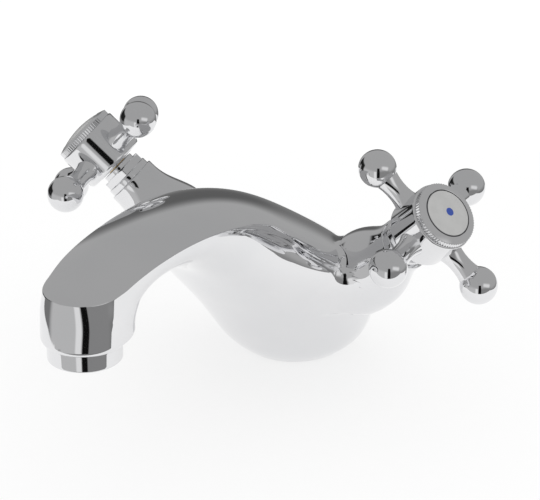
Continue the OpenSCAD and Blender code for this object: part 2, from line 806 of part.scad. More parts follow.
// Cap ring with a knurled side and a domed bezel, which holds the index disc and seats in the hub
module index_ring(side) {
    on_valve(side)
        difference() {
            union() {
                translate([0, 0, hub_up])
                    linear_extrude(height = ring_h)
                        polygon([
                            for (i = [0 : 2 * ring_teeth - 1])
                                let (r = ring_d / 2 - (i % 2) * tooth_depth, a = 180 / ring_teeth * i)
                                r * [cos(a), sin(a)]
                        ]);
                dome(ring_top - tooth_depth, 2 * (cap_r - bezel_in), 0);
                plug(hub_up - spigot_l, hub_up, recess_d - 2 * seat_gap);
            }
            plug(hub_up - spigot_l - cut, disc_seat + cut, disc_d - 2 * disc_ledge);
            plug(disc_seat, ring_top + dome_h + cut, disc_d + 2 * seat_gap);
        }
}

module hot_index_ring() { color("silver") index_ring(hot); }
module cold_index_ring() { color("silver") index_ring(cold); }

// Domed disc with one fine groove round its edge
module index_disc(side) {
    on_valve(side)
        difference() {
            dome(disc_seat, disc_d, disc_sunk);
            torus(dome_centre - disc_sunk + sqrt(dome_r * dome_r - mark_groove_r * mark_groove_r),
                mark_groove_r, mark_groove_w / 2);
        }
}

module hot_index_disc() { color("ivory") index_disc(hot); }
module cold_index_disc() { color("ivory") index_disc(cold); }

body();
base_seal();
aerator_housing();
aerator_cartridge();
aerator_washer();
hot_valve_body();
cold_valve_body();
hot_body_seal();
cold_body_seal();
hot_seat_seal();
cold_seat_seal();
hot_fixed_disc();
cold_fixed_disc();
hot_turning_disc();
cold_turning_disc();
hot_spindle();
cold_spindle();
hot_spindle_oring();
cold_spindle_oring();
hot_spindle_clip();
cold_spindle_clip();
hot_handle();
cold_handle();
hot_handle_screw();
cold_handle_screw();
hot_index_ring();
cold_index_ring();
hot_index_disc();
cold_index_disc();
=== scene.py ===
"""Looks of a basin mixer tap with two cross handles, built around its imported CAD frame.

Each visible form is a surface worked out with numpy: a grid of two parameters, or a profile
carried round an axis. Sizes are in millimetres until Shell.build() writes them in metres.
"""

import logging
from dataclasses import dataclass, field, replace
from enum import Enum

import bpy
import numpy as np
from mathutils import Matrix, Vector
from mathutils.geometry import delaunay_2d_cdt


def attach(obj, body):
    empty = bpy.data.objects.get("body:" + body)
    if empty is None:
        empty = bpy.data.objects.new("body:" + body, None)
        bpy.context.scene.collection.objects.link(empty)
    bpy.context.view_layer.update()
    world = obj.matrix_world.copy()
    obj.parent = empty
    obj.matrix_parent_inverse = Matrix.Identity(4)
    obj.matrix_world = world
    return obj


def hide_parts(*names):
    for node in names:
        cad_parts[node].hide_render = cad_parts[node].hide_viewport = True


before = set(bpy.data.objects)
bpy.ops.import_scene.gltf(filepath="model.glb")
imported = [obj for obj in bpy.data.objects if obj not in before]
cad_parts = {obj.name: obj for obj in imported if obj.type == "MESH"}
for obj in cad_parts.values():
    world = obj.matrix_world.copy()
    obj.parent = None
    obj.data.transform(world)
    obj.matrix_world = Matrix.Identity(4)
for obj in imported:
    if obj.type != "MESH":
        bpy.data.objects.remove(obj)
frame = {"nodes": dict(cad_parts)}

LOG = logging.getLogger("tap")
METRES = 0.001
WELD = 1e-4
TINY = 1e-6
FULL_TURN = 2 * np.pi
UP = np.array([0.0, 0.0, 1.0])
QUARTER_ARC = np.linspace(0, np.pi / 2, 6)

Array = np.ndarray


class Side(Enum):
    """The two supplies of the tap; the value is the sign of the side's X."""

    HOT = -1
    COLD = 1

    def node(self, piece: str) -> str:
        """Name of this side's CAD node or piece."""
        return f"{self.name.lower()}_{piece}"

    def body(self) -> str:
        """Name of the CAD body that turns with this side's handle."""
        return self.node("control")


class Slot(Enum):
    """Material slots that the inner pieces are listed under."""

    CHROME = "chrome_plate"
    BRASS = "brass"
    STEEL = "steel"
    INDEX = "index_ceramic"
    DISC = "disc_ceramic"
    PLASTIC = "aerator_plastic"
    RUBBER = "seal_rubber"


class Edge:
    """Rounding radii of machined edges, from a knife's to a soft one."""

    RAZOR = 0.02
    SHARP = 0.05
    BROKEN = 0.1
    FINE = 0.12
    FILED = 0.15
    EASED = 0.2
    SOFT = 0.3


def smooth_ramp(value: Array, start: float, end: float) -> Array:
    """Rises from 0 at start to 1 at end as 3t^2 - 2t^3, flat outside.

    Args:
        value: where the ramp is read.
        start: value at which it begins.
        end: value at which it is whole.

    Returns:
        The ramp, as large as value.
    """
    t = np.clip((value - start) / (end - start), 0, 1)
    return t * t * (3 - 2 * t)


def grid_quads(rows: int, columns: int, close_rows: bool, close_columns: bool) -> Array:
    """Corner numbers of the faces between the points of a grid, row by row.

    Args:
        rows: rows of points.
        columns: points in a row.
        close_rows: joins the last row to the first.
        close_columns: joins a row's last point to its first.

    Returns:
        One line of four point numbers a face.
    """
    i = np.arange(rows if close_rows else rows - 1)[:, None]
    j = np.arange(columns if close_columns else columns - 1)[None]
    below = (i + 1) % rows
    right = (j + 1) % columns
    corners = (i * columns + j, i * columns + right, below * columns + right, below * columns + j)
    return np.stack([np.broadcast_to(c, (i.size, j.size)) for c in corners], -1).reshape(-1, 4)


def weld(points: Array, quads: Array) -> tuple[Array, Array, Array]:
    """Joins points that round to the same multiples of WELD and drops what this collapses.

    Args:
        points: points, one a line.
        quads: four point numbers a face.

    Returns:
        The points that are left, their faces with four corners and their faces with three.
    """
    keys = np.round(points / WELD).astype(np.int64)
    _, first, inverse = np.unique(keys, axis=0, return_index=True, return_inverse=True)
    quads = inverse.reshape(-1)[quads]
    same = quads == np.roll(quads, -1, axis=1)
    whole = (~same.any(1)) & (quads[:, 0] != quads[:, 2]) & (quads[:, 1] != quads[:, 3])
    once = same.sum(1) == 1
    halves = quads[once]
    keep = ~same[once]
    triangles = halves[keep].reshape(-1, 3)
    true = (triangles[:, 0] != triangles[:, 1]) & (triangles[:, 1] != triangles[:, 2])
    true &= triangles[:, 0] != triangles[:, 2]
    return points[first], quads[whole], triangles[true]


def outward(points: Array, quads: Array, triangles: Array) -> tuple[Array, Array]:
    """Turns the faces of a closed shell outwards, by the sign of the volume they enclose.

    Args:
        points: points, one a line.
        quads: faces with four corners.
        triangles: faces with three corners.

    Returns:
        The same quads and triangles, turned round where the volume came out negative.
    """
    parts = np.vstack([quads[:, [0, 1, 2]], quads[:, [0, 2, 3]], triangles])
    a, b, c = (points[parts[:, k]] for k in range(3))
    volume = np.einsum("ij,ij->i", a, np.cross(b, c)).sum()
    return (quads, triangles) if volume > 0 else (quads[:, ::-1], triangles[:, ::-1])


def rounded(corners: list[tuple[float, float, float]], steps: int = 7, spacing: float = 0.6) -> Array:
    """A closed outline whose corners are rounded by arcs and whose straight runs are divided.

    Each arc is a rational quadratic curve: its ends lie r / tan(h) from the corner, where h is
    half the corner's angle, and the corner counts with the weight sin(h).

    Args:
        corners: radius from the axis, height and rounding radius of each corner in turn.
        steps: spans of an arc.
        spacing: longest span of a straight run.

    Returns:
        Points of the outline as (radius, height).
    """
    table = np.array(corners, float)
    tip = table[:, :2]
    back = np.roll(tip, 1, axis=0) - tip
    ahead = np.roll(tip, -1, axis=0) - tip
    back /= np.linalg.norm(back, axis=1, keepdims=True)
    ahead /= np.linalg.norm(ahead, axis=1, keepdims=True)
    half = np.arccos(np.clip((back * ahead).sum(1), -1, 1)) / 2
    reach = (table[:, 2] / np.maximum(np.tan(half), TINY))[:, None]
    t = np.linspace(0, 1, steps + 1)[None, :, None]
    weight = np.sin(half)[:, None, None]
    start = (tip + back * reach)[:, None]
    end = (tip + ahead * reach)[:, None]
    shares = ((1 - t) ** 2, 2 * t * (1 - t) * weight, t * t)
    curve = (shares[0] * start + shares[1] * tip[:, None] + shares[2] * end) / sum(shares)
    line = curve.reshape(-1, 2)
    gap = np.linalg.norm(np.roll(line, -1, axis=0) - line, axis=1)
    line = line[gap > TINY]
    following = np.roll(line, -1, axis=0)
    gap = np.linalg.norm(following - line, axis=1)
    parts = np.maximum(np.ceil(gap / spacing).astype(int), 1)
    number = np.arange(parts.sum()) - np.repeat(np.cumsum(parts) - parts, parts)
    share = (number / np.repeat(parts, parts))[:, None]
    return np.repeat(line, parts, axis=0) * (1 - share) + np.repeat(following, parts, axis=0) * share


@dataclass(frozen=True)
class Axis:
    """A straight axis with its own right-handed directions.

    Attributes:
        centre: a point on the axis.
        across: direction of angle 0.
        sideways: direction of angle 90 degrees.
        along: direction of the axis.
    """

    centre: Array
    across: Array
    sideways: Array
    along: Array

    def place(self, local: Array) -> Array:
        """Moves points from the axis's own (across, sideways, along) into the row frame."""
        return self.centre + local @ np.stack([self.across, self.sideways, self.along])

    def spoke(self, angle: float) -> "Axis":
        """An axis from the same centre that points out at right angles to this one.

        Args:
            angle: degrees from across towards sideways.

        Returns:
            The axis that runs along that angle.
        """
        turn = np.radians(angle)
        out = self.across * np.cos(turn) + self.sideways * np.sin(turn)
        return Axis(self.centre, self.along, np.cross(out, self.along), out)


def upright(x: float, y: float) -> Axis:
    """A vertical axis through a point of the ground."""
    return Axis(np.array([x, y, 0.0]), *np.eye(3))


@dataclass(frozen=True)
class ValveAxis:
    """Where the two valve axes stand: mirrored, leaning outwards and a little forwards.

    Attributes:
        pitch: distance between the handles' centres across the tap.
        front: how far the centres lie before the origin.
        height: height of the centres.
        rise: angle of the axis above the level.
        sweep: angle by which the axis turns forwards.
    """

    pitch: float = 140.8
    front: float = 26.1
    height: float = 74.4
    rise: float = 42.2
    sweep: float = 15.1

    def of(self, side: Side) -> Axis:
        """The axis of one side, with angle 0 towards the lower outside.

        It stands on the level by its rise and is turned about the vertical by its sweep.

        Args:
            side: which valve.

        Returns:
            The axis through the handle's centre.
        """
        heading = np.radians(-self.sweep if side is Side.COLD else 180 + self.sweep)
        lean = np.radians(90 - self.rise)
        flat = np.array([np.cos(heading), np.sin(heading), 0.0])
        across = flat * np.cos(lean) - UP * np.sin(lean)
        along = flat * np.sin(lean) + UP * np.cos(lean)
        centre = np.array([side.value * self.pitch / 2, -self.front, self.height])
        return Axis(centre, across, np.cross(along, across), along)


@dataclass
class Shell:
    """Closed surfaces that make one object.

    Attributes:
        points: the points of each surface.
        quads: their faces with four corners.
        triangles: their faces with three corners.
        maps: a UV position for each point.
    """

    points: list[Array] = field(default_factory=list)
    quads: list[Array] = field(default_factory=list)
    triangles: list[Array] = field(default_factory=list)
    maps: list[Array] = field(default_factory=list)

    def add(self, points: Array, quads: Array) -> None:
        """Adds a closed surface, welded and turned outwards.

        Args:
            points: its points.
            quads: its faces, which may have corners in the same place.
        """
        offset = sum(len(p) for p in self.points)
        points, quads, triangles = weld(points, quads)
        quads, triangles = outward(points, quads, triangles)
        self.points.append(points)
        self.quads.append(quads + offset)
        self.triangles.append(triangles + offset)

    def turned(
        self,
        axis: Axis,
        outline: Array,
        columns: int,
        limit: Array | None = None,
        limited: Array | None = None,
    ) -> None:
        """Adds a closed outline carried round an axis: (r cos a, r sin a, h) for each angle a.

        Args:
            axis: the axis.
            outline: (radius, height) points of the closed outline.
            columns: angles round the axis.
            limit: largest radius at each angle.
            limited: which points of the outline the limit holds for.
        """
        angle = np.arange(columns) * FULL_TURN / columns
        radius = np.repeat(outline[:, :1], columns, axis=1)
        if limit is not None:
            radius = np.where(limited[:, None], np.minimum(radius, limit[None]), radius)
        height = np.repeat(outline[:, 1:], columns, axis=1)
        local = np.stack([radius * np.cos(angle), radius * np.sin(angle), height], -1)
        quads = grid_quads(len(outline), columns, True, True)
        self.add(axis.place(local.reshape(-1, 3)), quads)

    def build(self, name: str, crease: float) -> bpy.types.Object:
        """Writes the surfaces into a mesh object at the origin.

        Args:
            name: name of the object and its mesh.
            crease: angle in degrees above which an edge stays sharp.

        Returns:
            The new object, linked to the scene.
        """
        mesh = bpy.data.meshes.new(name)
        faces = np.vstack(self.quads).tolist() + np.vstack(self.triangles).tolist()
        mesh.from_pydata((np.vstack(self.points) * METRES).tolist(), [], faces)
        mesh.validate()
        mesh.shade_smooth()
        mesh.set_sharp_from_angle(angle=np.radians(crease))
        if self.maps:
            corner = np.zeros(len(mesh.loops), np.int32)
            mesh.loops.foreach_get("vertex_index", corner)
            layer = mesh.uv_layers.new(name="UVMap")
            layer.data.foreach_set("uv", np.vstack(self.maps)[corner].astype(np.float32).ravel())
        mesh.update()
        obj = bpy.data.objects.new(name, mesh)
        bpy.context.scene.collection.objects.link(obj)
        return obj


class Graph:
    """A node tree with short calls that add and join nodes."""

    def __init__(self, tree: bpy.types.NodeTree) -> None:
        """Empties the tree and keeps it."""
        self.tree = tree
        tree.nodes.clear()

    def add(self, kind: str, **settings: object) -> bpy.types.Node:
        """Adds a node.

        Args:
            kind: its type.
            settings: values of its properties.

        Returns:
            The node.
        """
        node = self.tree.nodes.new(kind)
        for key, value in settings.items():
            setattr(node, key, value)
        return node

    def feed(self, socket: bpy.types.NodeSocket, source: object) -> None:
        """Joins a socket to another one, or writes a plain value on it.

        Args:
            socket: an input.
            source: an output, or the value.
        """
        if isinstance(source, bpy.types.NodeSocket):
            self.tree.links.new(source, socket)
        else:
            socket.default_value = source

    def math(self, operation: str, *values: object) -> bpy.types.NodeSocket:
        """Adds a Math node.

        Args:
            operation: what it works out.
            values: up to three sockets or numbers.

        Returns:
            Its result.
        """
        node = self.add("ShaderNodeMath", operation=operation)
        for socket, value in zip(node.inputs, values):
            self.feed(socket, value)
        return node.outputs[0]

    def dot(self, vector: bpy.types.NodeSocket, direction: Array) -> bpy.types.NodeSocket:
        """Dot product of a vector socket and a fixed direction.

        Args:
            vector: the socket.
            direction: the direction.

        Returns:
            The product.
        """
        node = self.add("ShaderNodeVectorMath", operation="DOT_PRODUCT")
        self.feed(node.inputs[0], vector)
        self.feed(node.inputs[1], tuple(float(v) for v in direction))
        return node.outputs["Value"]

    def ramp(
        self, value: bpy.types.NodeSocket, low: float, high: float, start: object, end: object
    ) -> bpy.types.NodeSocket:
        """Maps a span of values onto another, with smooth ends and flat outside.

        Args:
            value: what is mapped.
            low: where the ramp begins.
            high: where the ramp is whole.
            start: result at low, a number or a socket.
            end: result at high, likewise.

        Returns:
            The mapped value.
        """
        node = self.add("ShaderNodeMapRange", interpolation_type="SMOOTHSTEP")
        for socket, source in zip(node.inputs, (value, low, high, start, end)):
            self.feed(socket, source)
        return node.outputs[0]

    def blend(self, share: object, a: object, b: object) -> bpy.types.NodeSocket:
        """Mixes two colours, on the sockets that a Mix node keeps for colours.

        Args:
            share: 0 for the first colour to 1 for the second.
            a: the first colour.
            b: the second colour.

        Returns:
            The mixed colour.
        """
        node = self.add("ShaderNodeMix", data_type="RGBA")
        for number, source in ((0, share), (6, a), (7, b)):
            self.feed(node.inputs[number], source)
        return node.outputs[2]

    def noise(self, vector: bpy.types.NodeSocket, scale: float, detail: float) -> bpy.types.NodeSocket:
        """Adds a noise texture.

        Args:
            vector: where it is read.
            scale: its scale in waves per metre.
            detail: number of finer layers.

        Returns:
            Its value.
        """
        node = self.add("ShaderNodeTexNoise")
        self.feed(node.inputs["Vector"], vector)
        self.feed(node.inputs["Scale"], scale)
        self.feed(node.inputs["Detail"], detail)
        return node.outputs[0]


def opaque(colour: tuple[float, float, float]) -> tuple[float, float, float, float]:
    """A colour with full alpha."""
    return (*colour, 1.0)


@dataclass(frozen=True)
class Finish:
    """A surface finish: two close colours in soft clouds, a roughness that varies, a fine relief.

    Attributes:
        name: name of the material.
        colour: colour of most of the surface.
        other: colour that the clouds change it to.
        metallic: 1 for a metal.
        rough: lowest and highest roughness.
        clouds: scale of the colour and roughness clouds, in waves per metre.
        grain: scale of the relief, in waves per metre.
        relief: height of the relief in metres.
        coat: weight of a clear coat.
        lathe: direction of the axis that turning marks run round, or None.
        colour_span: values of the clouds between which the colour changes.
        rough_span: values of the clouds between which the roughness changes.
        cloud_detail: finer layers in the clouds.
        grain_detail: finer layers in the relief.
    """

    name: str
    colour: tuple[float, float, float]
    other: tuple[float, float, float]
    metallic: float
    rough: tuple[float, float]
    clouds: float
    grain: float
    relief: float
    coat: float = 0.0
    lathe: tuple[float, float, float] | None = None
    colour_span: tuple[float, float] = (0.35, 0.65)
    rough_span: tuple[float, float] = (0.3, 0.7)
    cloud_detail: float = 3.0
    grain_detail: float = 2.0

    def material(self) -> bpy.types.Material:
        """Makes the material, or finds it where it exists already.

        Returns:
            The material.
        """
        made = bpy.data.materials.get(self.name)
        if made is not None:
            return made
        material = bpy.data.materials.new(self.name)
        material.use_nodes = True
        graph = Graph(material.node_tree)
        shader = self.shader(graph)
        output = graph.add("ShaderNodeOutputMaterial")
        graph.feed(output.inputs["Surface"], shader.outputs[0])
        return material

    def shader(self, graph: Graph) -> bpy.types.Node:
        """Adds the shader with its clouds and relief.

        Args:
            graph: the material's graph.

        Returns:
            The Principled node.
        """
        place = graph.add("ShaderNodeTexCoord").outputs["Object"]
        cloud = graph.noise(place, self.clouds, self.cloud_detail)
        shader = graph.add("ShaderNodeBsdfPrincipled")
        share = graph.ramp(cloud, *self.colour_span, 0.0, 1.0)
        colour = graph.blend(share, opaque(self.colour), opaque(self.other))
        graph.feed(shader.inputs["Base Color"], colour)
        graph.feed(shader.inputs["Metallic"], self.metallic)
        graph.feed(shader.inputs["Roughness"], graph.ramp(cloud, *self.rough_span, *self.rough))
        graph.feed(shader.inputs["Coat Weight"], self.coat)
        bump = graph.add("ShaderNodeBump")
        graph.feed(bump.inputs["Height"], self.height(graph, place))
        graph.feed(bump.inputs["Strength"], 1.0)
        graph.feed(bump.inputs["Distance"], self.relief)
        graph.feed(shader.inputs["Normal"], bump.outputs[0])
        return shader

    def height(self, graph: Graph, place: bpy.types.NodeSocket) -> bpy.types.NodeSocket:
        """Relief of the finish: grain, or rings round the lathe's axis.

        Args:
            graph: the material's graph.
            place: the surface's place in the row frame.

        Returns:
            A height from 0 to 1.
        """
        if self.lathe is None:
            return graph.noise(place, self.grain, self.grain_detail)
        node = graph.add("ShaderNodeTexNoise", noise_dimensions="1D")
        graph.feed(node.inputs["W"], graph.dot(place, np.array(self.lathe)))
        graph.feed(node.inputs["Scale"], self.grain)
        graph.feed(node.inputs["Detail"], self.grain_detail)
        return node.outputs[0]


CHROME = Finish(
    "polished_chrome", (0.80, 0.80, 0.81), (0.775, 0.778, 0.79), 1.0, (0.025, 0.055),
    clouds=30.0, grain=45.0, relief=0.00001,
)
BRASS = Finish(
    "turned_brass", (0.72, 0.53, 0.25), (0.64, 0.46, 0.22), 1.0, (0.2, 0.34),
    clouds=90.0, grain=3000.0, relief=0.00002,
)
STEEL = Finish(
    "turned_steel", (0.62, 0.62, 0.63), (0.55, 0.55, 0.57), 1.0, (0.22, 0.36),
    clouds=120.0, grain=4000.0, relief=0.00002,
)
ALUMINA = Finish(
    "lapped_alumina", (0.86, 0.84, 0.78), (0.8, 0.78, 0.72), 0.0, (0.12, 0.22),
    clouds=160.0, grain=5000.0, relief=0.00001,
)
PLASTIC = Finish(
    "moulded_plastic", (0.3, 0.31, 0.33), (0.25, 0.26, 0.28), 0.0, (0.38, 0.5),
    clouds=140.0, grain=2600.0, relief=0.00003,
)
RUBBER = Finish(
    "black_rubber", (0.028, 0.028, 0.03), (0.045, 0.044, 0.044), 0.0, (0.5, 0.66),
    clouds=120.0, grain=1800.0, relief=0.00004,
)


@dataclass(frozen=True)
class IndexGlaze(Finish):
    """White glaze of an index disc with a coloured dot, and a fine dark line of painted shade near its
    edge.

    Attributes:
        dot: colour of the dot in the middle.
        dot_r: radius of the dot, as a share of the disc's radius.
        shade_line_r: radius of the painted shade line, as a share of the disc's radius.
        shade_line_w: width of the painted shade line, as a share of the disc's radius.
        line: colour of the painted shade line, the dark of the gap between disc and bezel.
        blur: half the width over which dot and line fade, as a share of the disc's radius.
    """

    dot: tuple[float, float, float] = (0.4, 0.02, 0.02)
    dot_r: float = 0.17
    shade_line_r: float = 0.98
    shade_line_w: float = 0.05
    # painted shade: the dark of the gap between the disc and the bezel
    line: tuple[float, float, float] = (0.03, 0.03, 0.035)
    blur: float = 0.012

    def shader(self, graph: Graph) -> bpy.types.Node:
        """Paints the dot and the dark line of painted shade over the glaze, by the distance from the
        disc's middle.

        Args:
            graph: the material's graph.

        Returns:
            The Principled node.
        """
        shader = super().shader(graph)
        glaze = shader.inputs["Base Color"].links[0].from_socket
        flat = graph.add("ShaderNodeUVMap", uv_map="UVMap").outputs[0]
        middle = graph.add("ShaderNodeVectorMath", operation="DISTANCE")
        graph.feed(middle.inputs[0], flat)
        graph.feed(middle.inputs[1], (0.5, 0.5, 0.0))
        radius = graph.math("MULTIPLY", middle.outputs["Value"], 2.0)
        in_dot = graph.ramp(radius, self.dot_r - self.blur, self.dot_r + self.blur, 1.0, 0.0)
        # The dark ring near the edge is painted shade, standing for the gap between the disc and the
        # bezel.
        away = graph.math("ABSOLUTE", graph.math("SUBTRACT", radius, self.shade_line_r))
        half = self.shade_line_w / 2
        in_shade_line = graph.ramp(away, half - self.blur, half + self.blur, 1.0, 0.0)
        marked = graph.blend(in_dot, glaze, opaque(self.dot))
        marked = graph.blend(in_shade_line, marked, opaque(self.line))
        graph.feed(shader.inputs["Base Color"], marked)
        return shader


def glaze(side: Side) -> IndexGlaze:
    """The glaze of one side's disc: red dot for hot, blue for cold.

    Args:
        side: whose disc.

    Returns:
        The glaze.
    """
    return IndexGlaze(
        name=side.node("index_glaze"),
        colour=(0.465, 0.465, 0.46),
        other=(0.44, 0.44, 0.435),
        metallic=0.0,
        rough=(0.1, 0.18),
        clouds=200.0,
        grain=700.0,
        relief=0.000015,
        coat=0.7,
        dot=(0.36, 0.02, 0.02) if side is Side.HOT else (0.02, 0.06, 0.32),
    )


def dress(obj: bpy.types.Object, finish: Finish) -> bpy.types.Object:
    """Gives an object one finish.

    Args:
        obj: a new piece or a CAD node.
        finish: its finish.

    Returns:
        The same object.
    """
    obj.data.materials.clear()
    obj.data.materials.append(finish.material())
    return obj


def fit(
    shell: Shell, name: str, finish: Finish, body: str, node: str, crease: float = 32.0
) -> None:
    """Builds a piece, dresses it and lets it stand for a CAD node.

    Args:
        shell: its surfaces.
        name: its name.
        finish: its finish.
        body: CAD body it moves with.
        node: CAD node it stands for.
        crease: angle in degrees above which an edge stays sharp.
    """
    obj = dress(shell.build(name, crease), finish)
    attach(obj, body)
    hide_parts(node)
    LOG.info("%s: %d faces, for %s", obj.name, len(obj.data.polygons), node)


# Stations of the cast body: keel y, z; side y, z, x; crease y, z, x; crest y, z; fullness of the
# hull; softness of the crease.
STATIONS = np.array([
    [-20.5, 0.6, 0.0, 0.6, 20.5, 14.5, 0.6, 14.5, 20.5, 0.6, 2.0, 1.0],
    [-26.8, 5.0, 0.0, 5.0, 27.0, 19.0, 5.0, 19.0, 26.4, 5.0, 2.0, 1.0],
    [-30.4, 10.0, -0.5, 11.0, 30.5, 19.6, 12.0, 21.4, 27.3, 11.0, 2.0, 1.0],
    [-35.0, 17.0, -1.5, 19.0, 34.6, 18.0, 23.0, 24.0, 27.5, 21.0, 2.0, 1.0],
    [-40.0, 25.0, -6.0, 30.0, 38.5, 10.0, 37.0, 28.0, 24.5, 34.0, 2.0, 1.0],
    [-48.0, 34.5, -16.0, 43.0, 42.5, -8.0, 50.0, 36.0, 11.0, 46.5, 2.1, 1.0],
    [-57.0, 44.5, -31.0, 52.5, 41.5, -26.0, 57.5, 39.0, -9.2, 60.3, 2.1, 1.0],
    [-67.0, 54.0, -48.0, 60.0, 34.5, -44.5, 64.5, 31.8, -27.8, 72.2, 2.1, 0.3],
    [-76.5, 61.5, -54.0, 73.0, 28.3, -51.0, 75.5, 27.3, -44.0, 81.6, 2.1, 0.0],
    [-86.0, 67.0, -65.0, 79.0, 23.0, -64.0, 80.8, 22.8, -61.0, 86.8, 2.1, 0.0],
    [-95.0, 71.0, -82.5, 83.3, 19.8, -82.0, 84.4, 19.8, -82.0, 89.6, 2.1, 0.0],
    [-104.0, 73.5, -102.0, 85.0, 18.1, -102.0, 86.0, 18.1, -102.0, 90.3, 2.1, 0.0],
    [-111.5, 74.6, -117.5, 84.5, 17.0, -118.0, 85.8, 17.0, -118.0, 89.3, 2.2, 0.0],
    [-117.5, 74.2, -129.0, 81.8, 16.2, -131.0, 84.3, 16.0, -131.0, 86.8, 2.3, 0.0],
    [-121.5, 72.6, -136.0, 77.5, 15.3, -141.0, 81.9, 14.75, -141.0, 84.0, 2.4, 0.0],
    [-123.3, 70.3, -140.0, 73.6, 15.1, -148.9, 80.8, 12.3, -148.9, 82.2, 2.5, 0.0],
    [-124.2, 68.0, -142.3, 70.4, 15.1, -154.6, 80.6, 7.1, -154.6, 81.0, 2.5, 0.0],
    [-124.6, 66.4, -143.2, 68.0, 15.1, -156.6, 80.4, 0.0, -156.6, 80.4, 2.5, 0.0],
    [-124.7, 65.8, -143.2, 67.2, 15.1, -156.8, 78.2, 0.0, -156.8, 78.2, 2.5, 0.0],
    [-124.8, 65.1, -143.2, 66.2, 15.1, -157.3, 73.5, 0.0, -157.3, 73.5, 2.5, 0.0],
    [-125.0, 63.8, -143.2, 64.0, 15.1, -158.0, 66.0, 0.0, -158.0, 66.0, 2.5, 0.0],
    [-125.6, 62.6, -143.2, 62.6, 14.62, -157.6, 63.0, 0.0, -157.6, 63.0, 2.5, 0.0],
    [-127.5, 61.8, -143.2, 61.8, 13.2, -156.0, 61.8, 0.0, -156.0, 61.8, 2.4, 0.0],
])


@dataclass(frozen=True)
class Foot:
    """The underside of the body: a recess for the gasket, and the threaded holes in its ceiling.

    Attributes:
        recess_r: radius of the recess.
        recess_top: height of its ceiling.
        inlets: (x, y, radius, top) of the threaded holes.
        columns: points round a hole.
        drill_tip: height of a hole's drilled cone, as a share of its radius.
    """

    recess_r: float = 19.3
    recess_top: float = 1.6
    inlets: tuple[tuple[float, float, float, float], ...] = (
        (-9.5, -7.0, 4.5, 13.6),
        (9.5, -7.0, 4.5, 13.6),
        (0.0, 10.5, 3.4, 15.6),
    )
    columns: int = 64
    drill_tip: float = 0.3

    def rows(self, edge: Array) -> Array:
        """Rows from the recess's ceiling down its wall to the foot's outer edge.

        Args:
            edge: first row of the skin.

        Returns:
            Two rows whose points stand on the recess's circle at the edge's angles.
        """
        flat = edge[:, :2]
        circle = self.recess_r * flat / np.linalg.norm(flat, axis=1, keepdims=True)
        heights = np.array([self.recess_top, edge[0, 2]])
        level = np.broadcast_to(heights[:, None, None], (len(heights), len(edge), 1))
        return np.concatenate([np.broadcast_to(circle, (len(heights), *circle.shape)), level], axis=2)

    def ceiling(self, edge: Array) -> tuple[Array, Array]:
        """The recess's flat ceiling with its holes, as triangles written as quads.

        Args:
            edge: points of its outer edge.

        Returns:
            Points, and faces whose last two corners are the same point.
        """
        loops = [edge[:, :2], *[self.circle(x, y, r) for x, y, r, _ in self.inlets]]
        flat = np.vstack(loops)
        ends = np.cumsum([len(loop) for loop in loops])
        following = np.arange(len(flat)) + 1
        following[ends - 1] = ends - [len(loop) for loop in loops]
        borders = np.stack([np.arange(len(flat)), following], 1).tolist()
        corners = [Vector(p) for p in flat.tolist()]
        points, _, faces, *_ = delaunay_2d_cdt(corners, borders, [], 1, TINY)
        placed = np.array([[*p, self.recess_top] for p in points])
        triangles = np.array(faces)
        middle = placed[triangles].mean(axis=1)
        kept = np.ones(len(triangles), bool)
        almost = 0.999
        for x, y, r, _ in self.inlets:
            kept &= np.hypot(middle[:, 0] - x, middle[:, 1] - y) > r * almost
        triangles = triangles[kept][:, ::-1]
        return placed, triangles[:, [0, 1, 2, 2]]

    def circle(self, x: float, y: float, r: float) -> Array:
        """Points of a circle in the level plane."""
        angle = np.arange(self.columns) * FULL_TURN / self.columns
        return np.stack([x + r * np.cos(angle), y + r * np.sin(angle)], 1)

    def hole(self, x: float, y: float, r: float, top: float) -> tuple[Array, Array]:
        """Wall of a blind hole from the ceiling up, closed by its drilled cone.

        Args:
            x: place of its axis.
            y: place of its axis.
            r: its radius.
            top: height at which the cone begins.

        Returns:
            Points and faces, which look into the hole.
        """
        flat = self.circle(x, y, r)
        count = self.columns
        rows = [np.column_stack([flat, np.full(count, z)]) for z in (self.recess_top, top)]
        point = np.tile([x, y, top + r * self.drill_tip], (count, 1))
        grid = np.stack([*rows, point])
        return grid.reshape(-1, 3), grid_quads(len(grid), count, False, True)[:, ::-1]


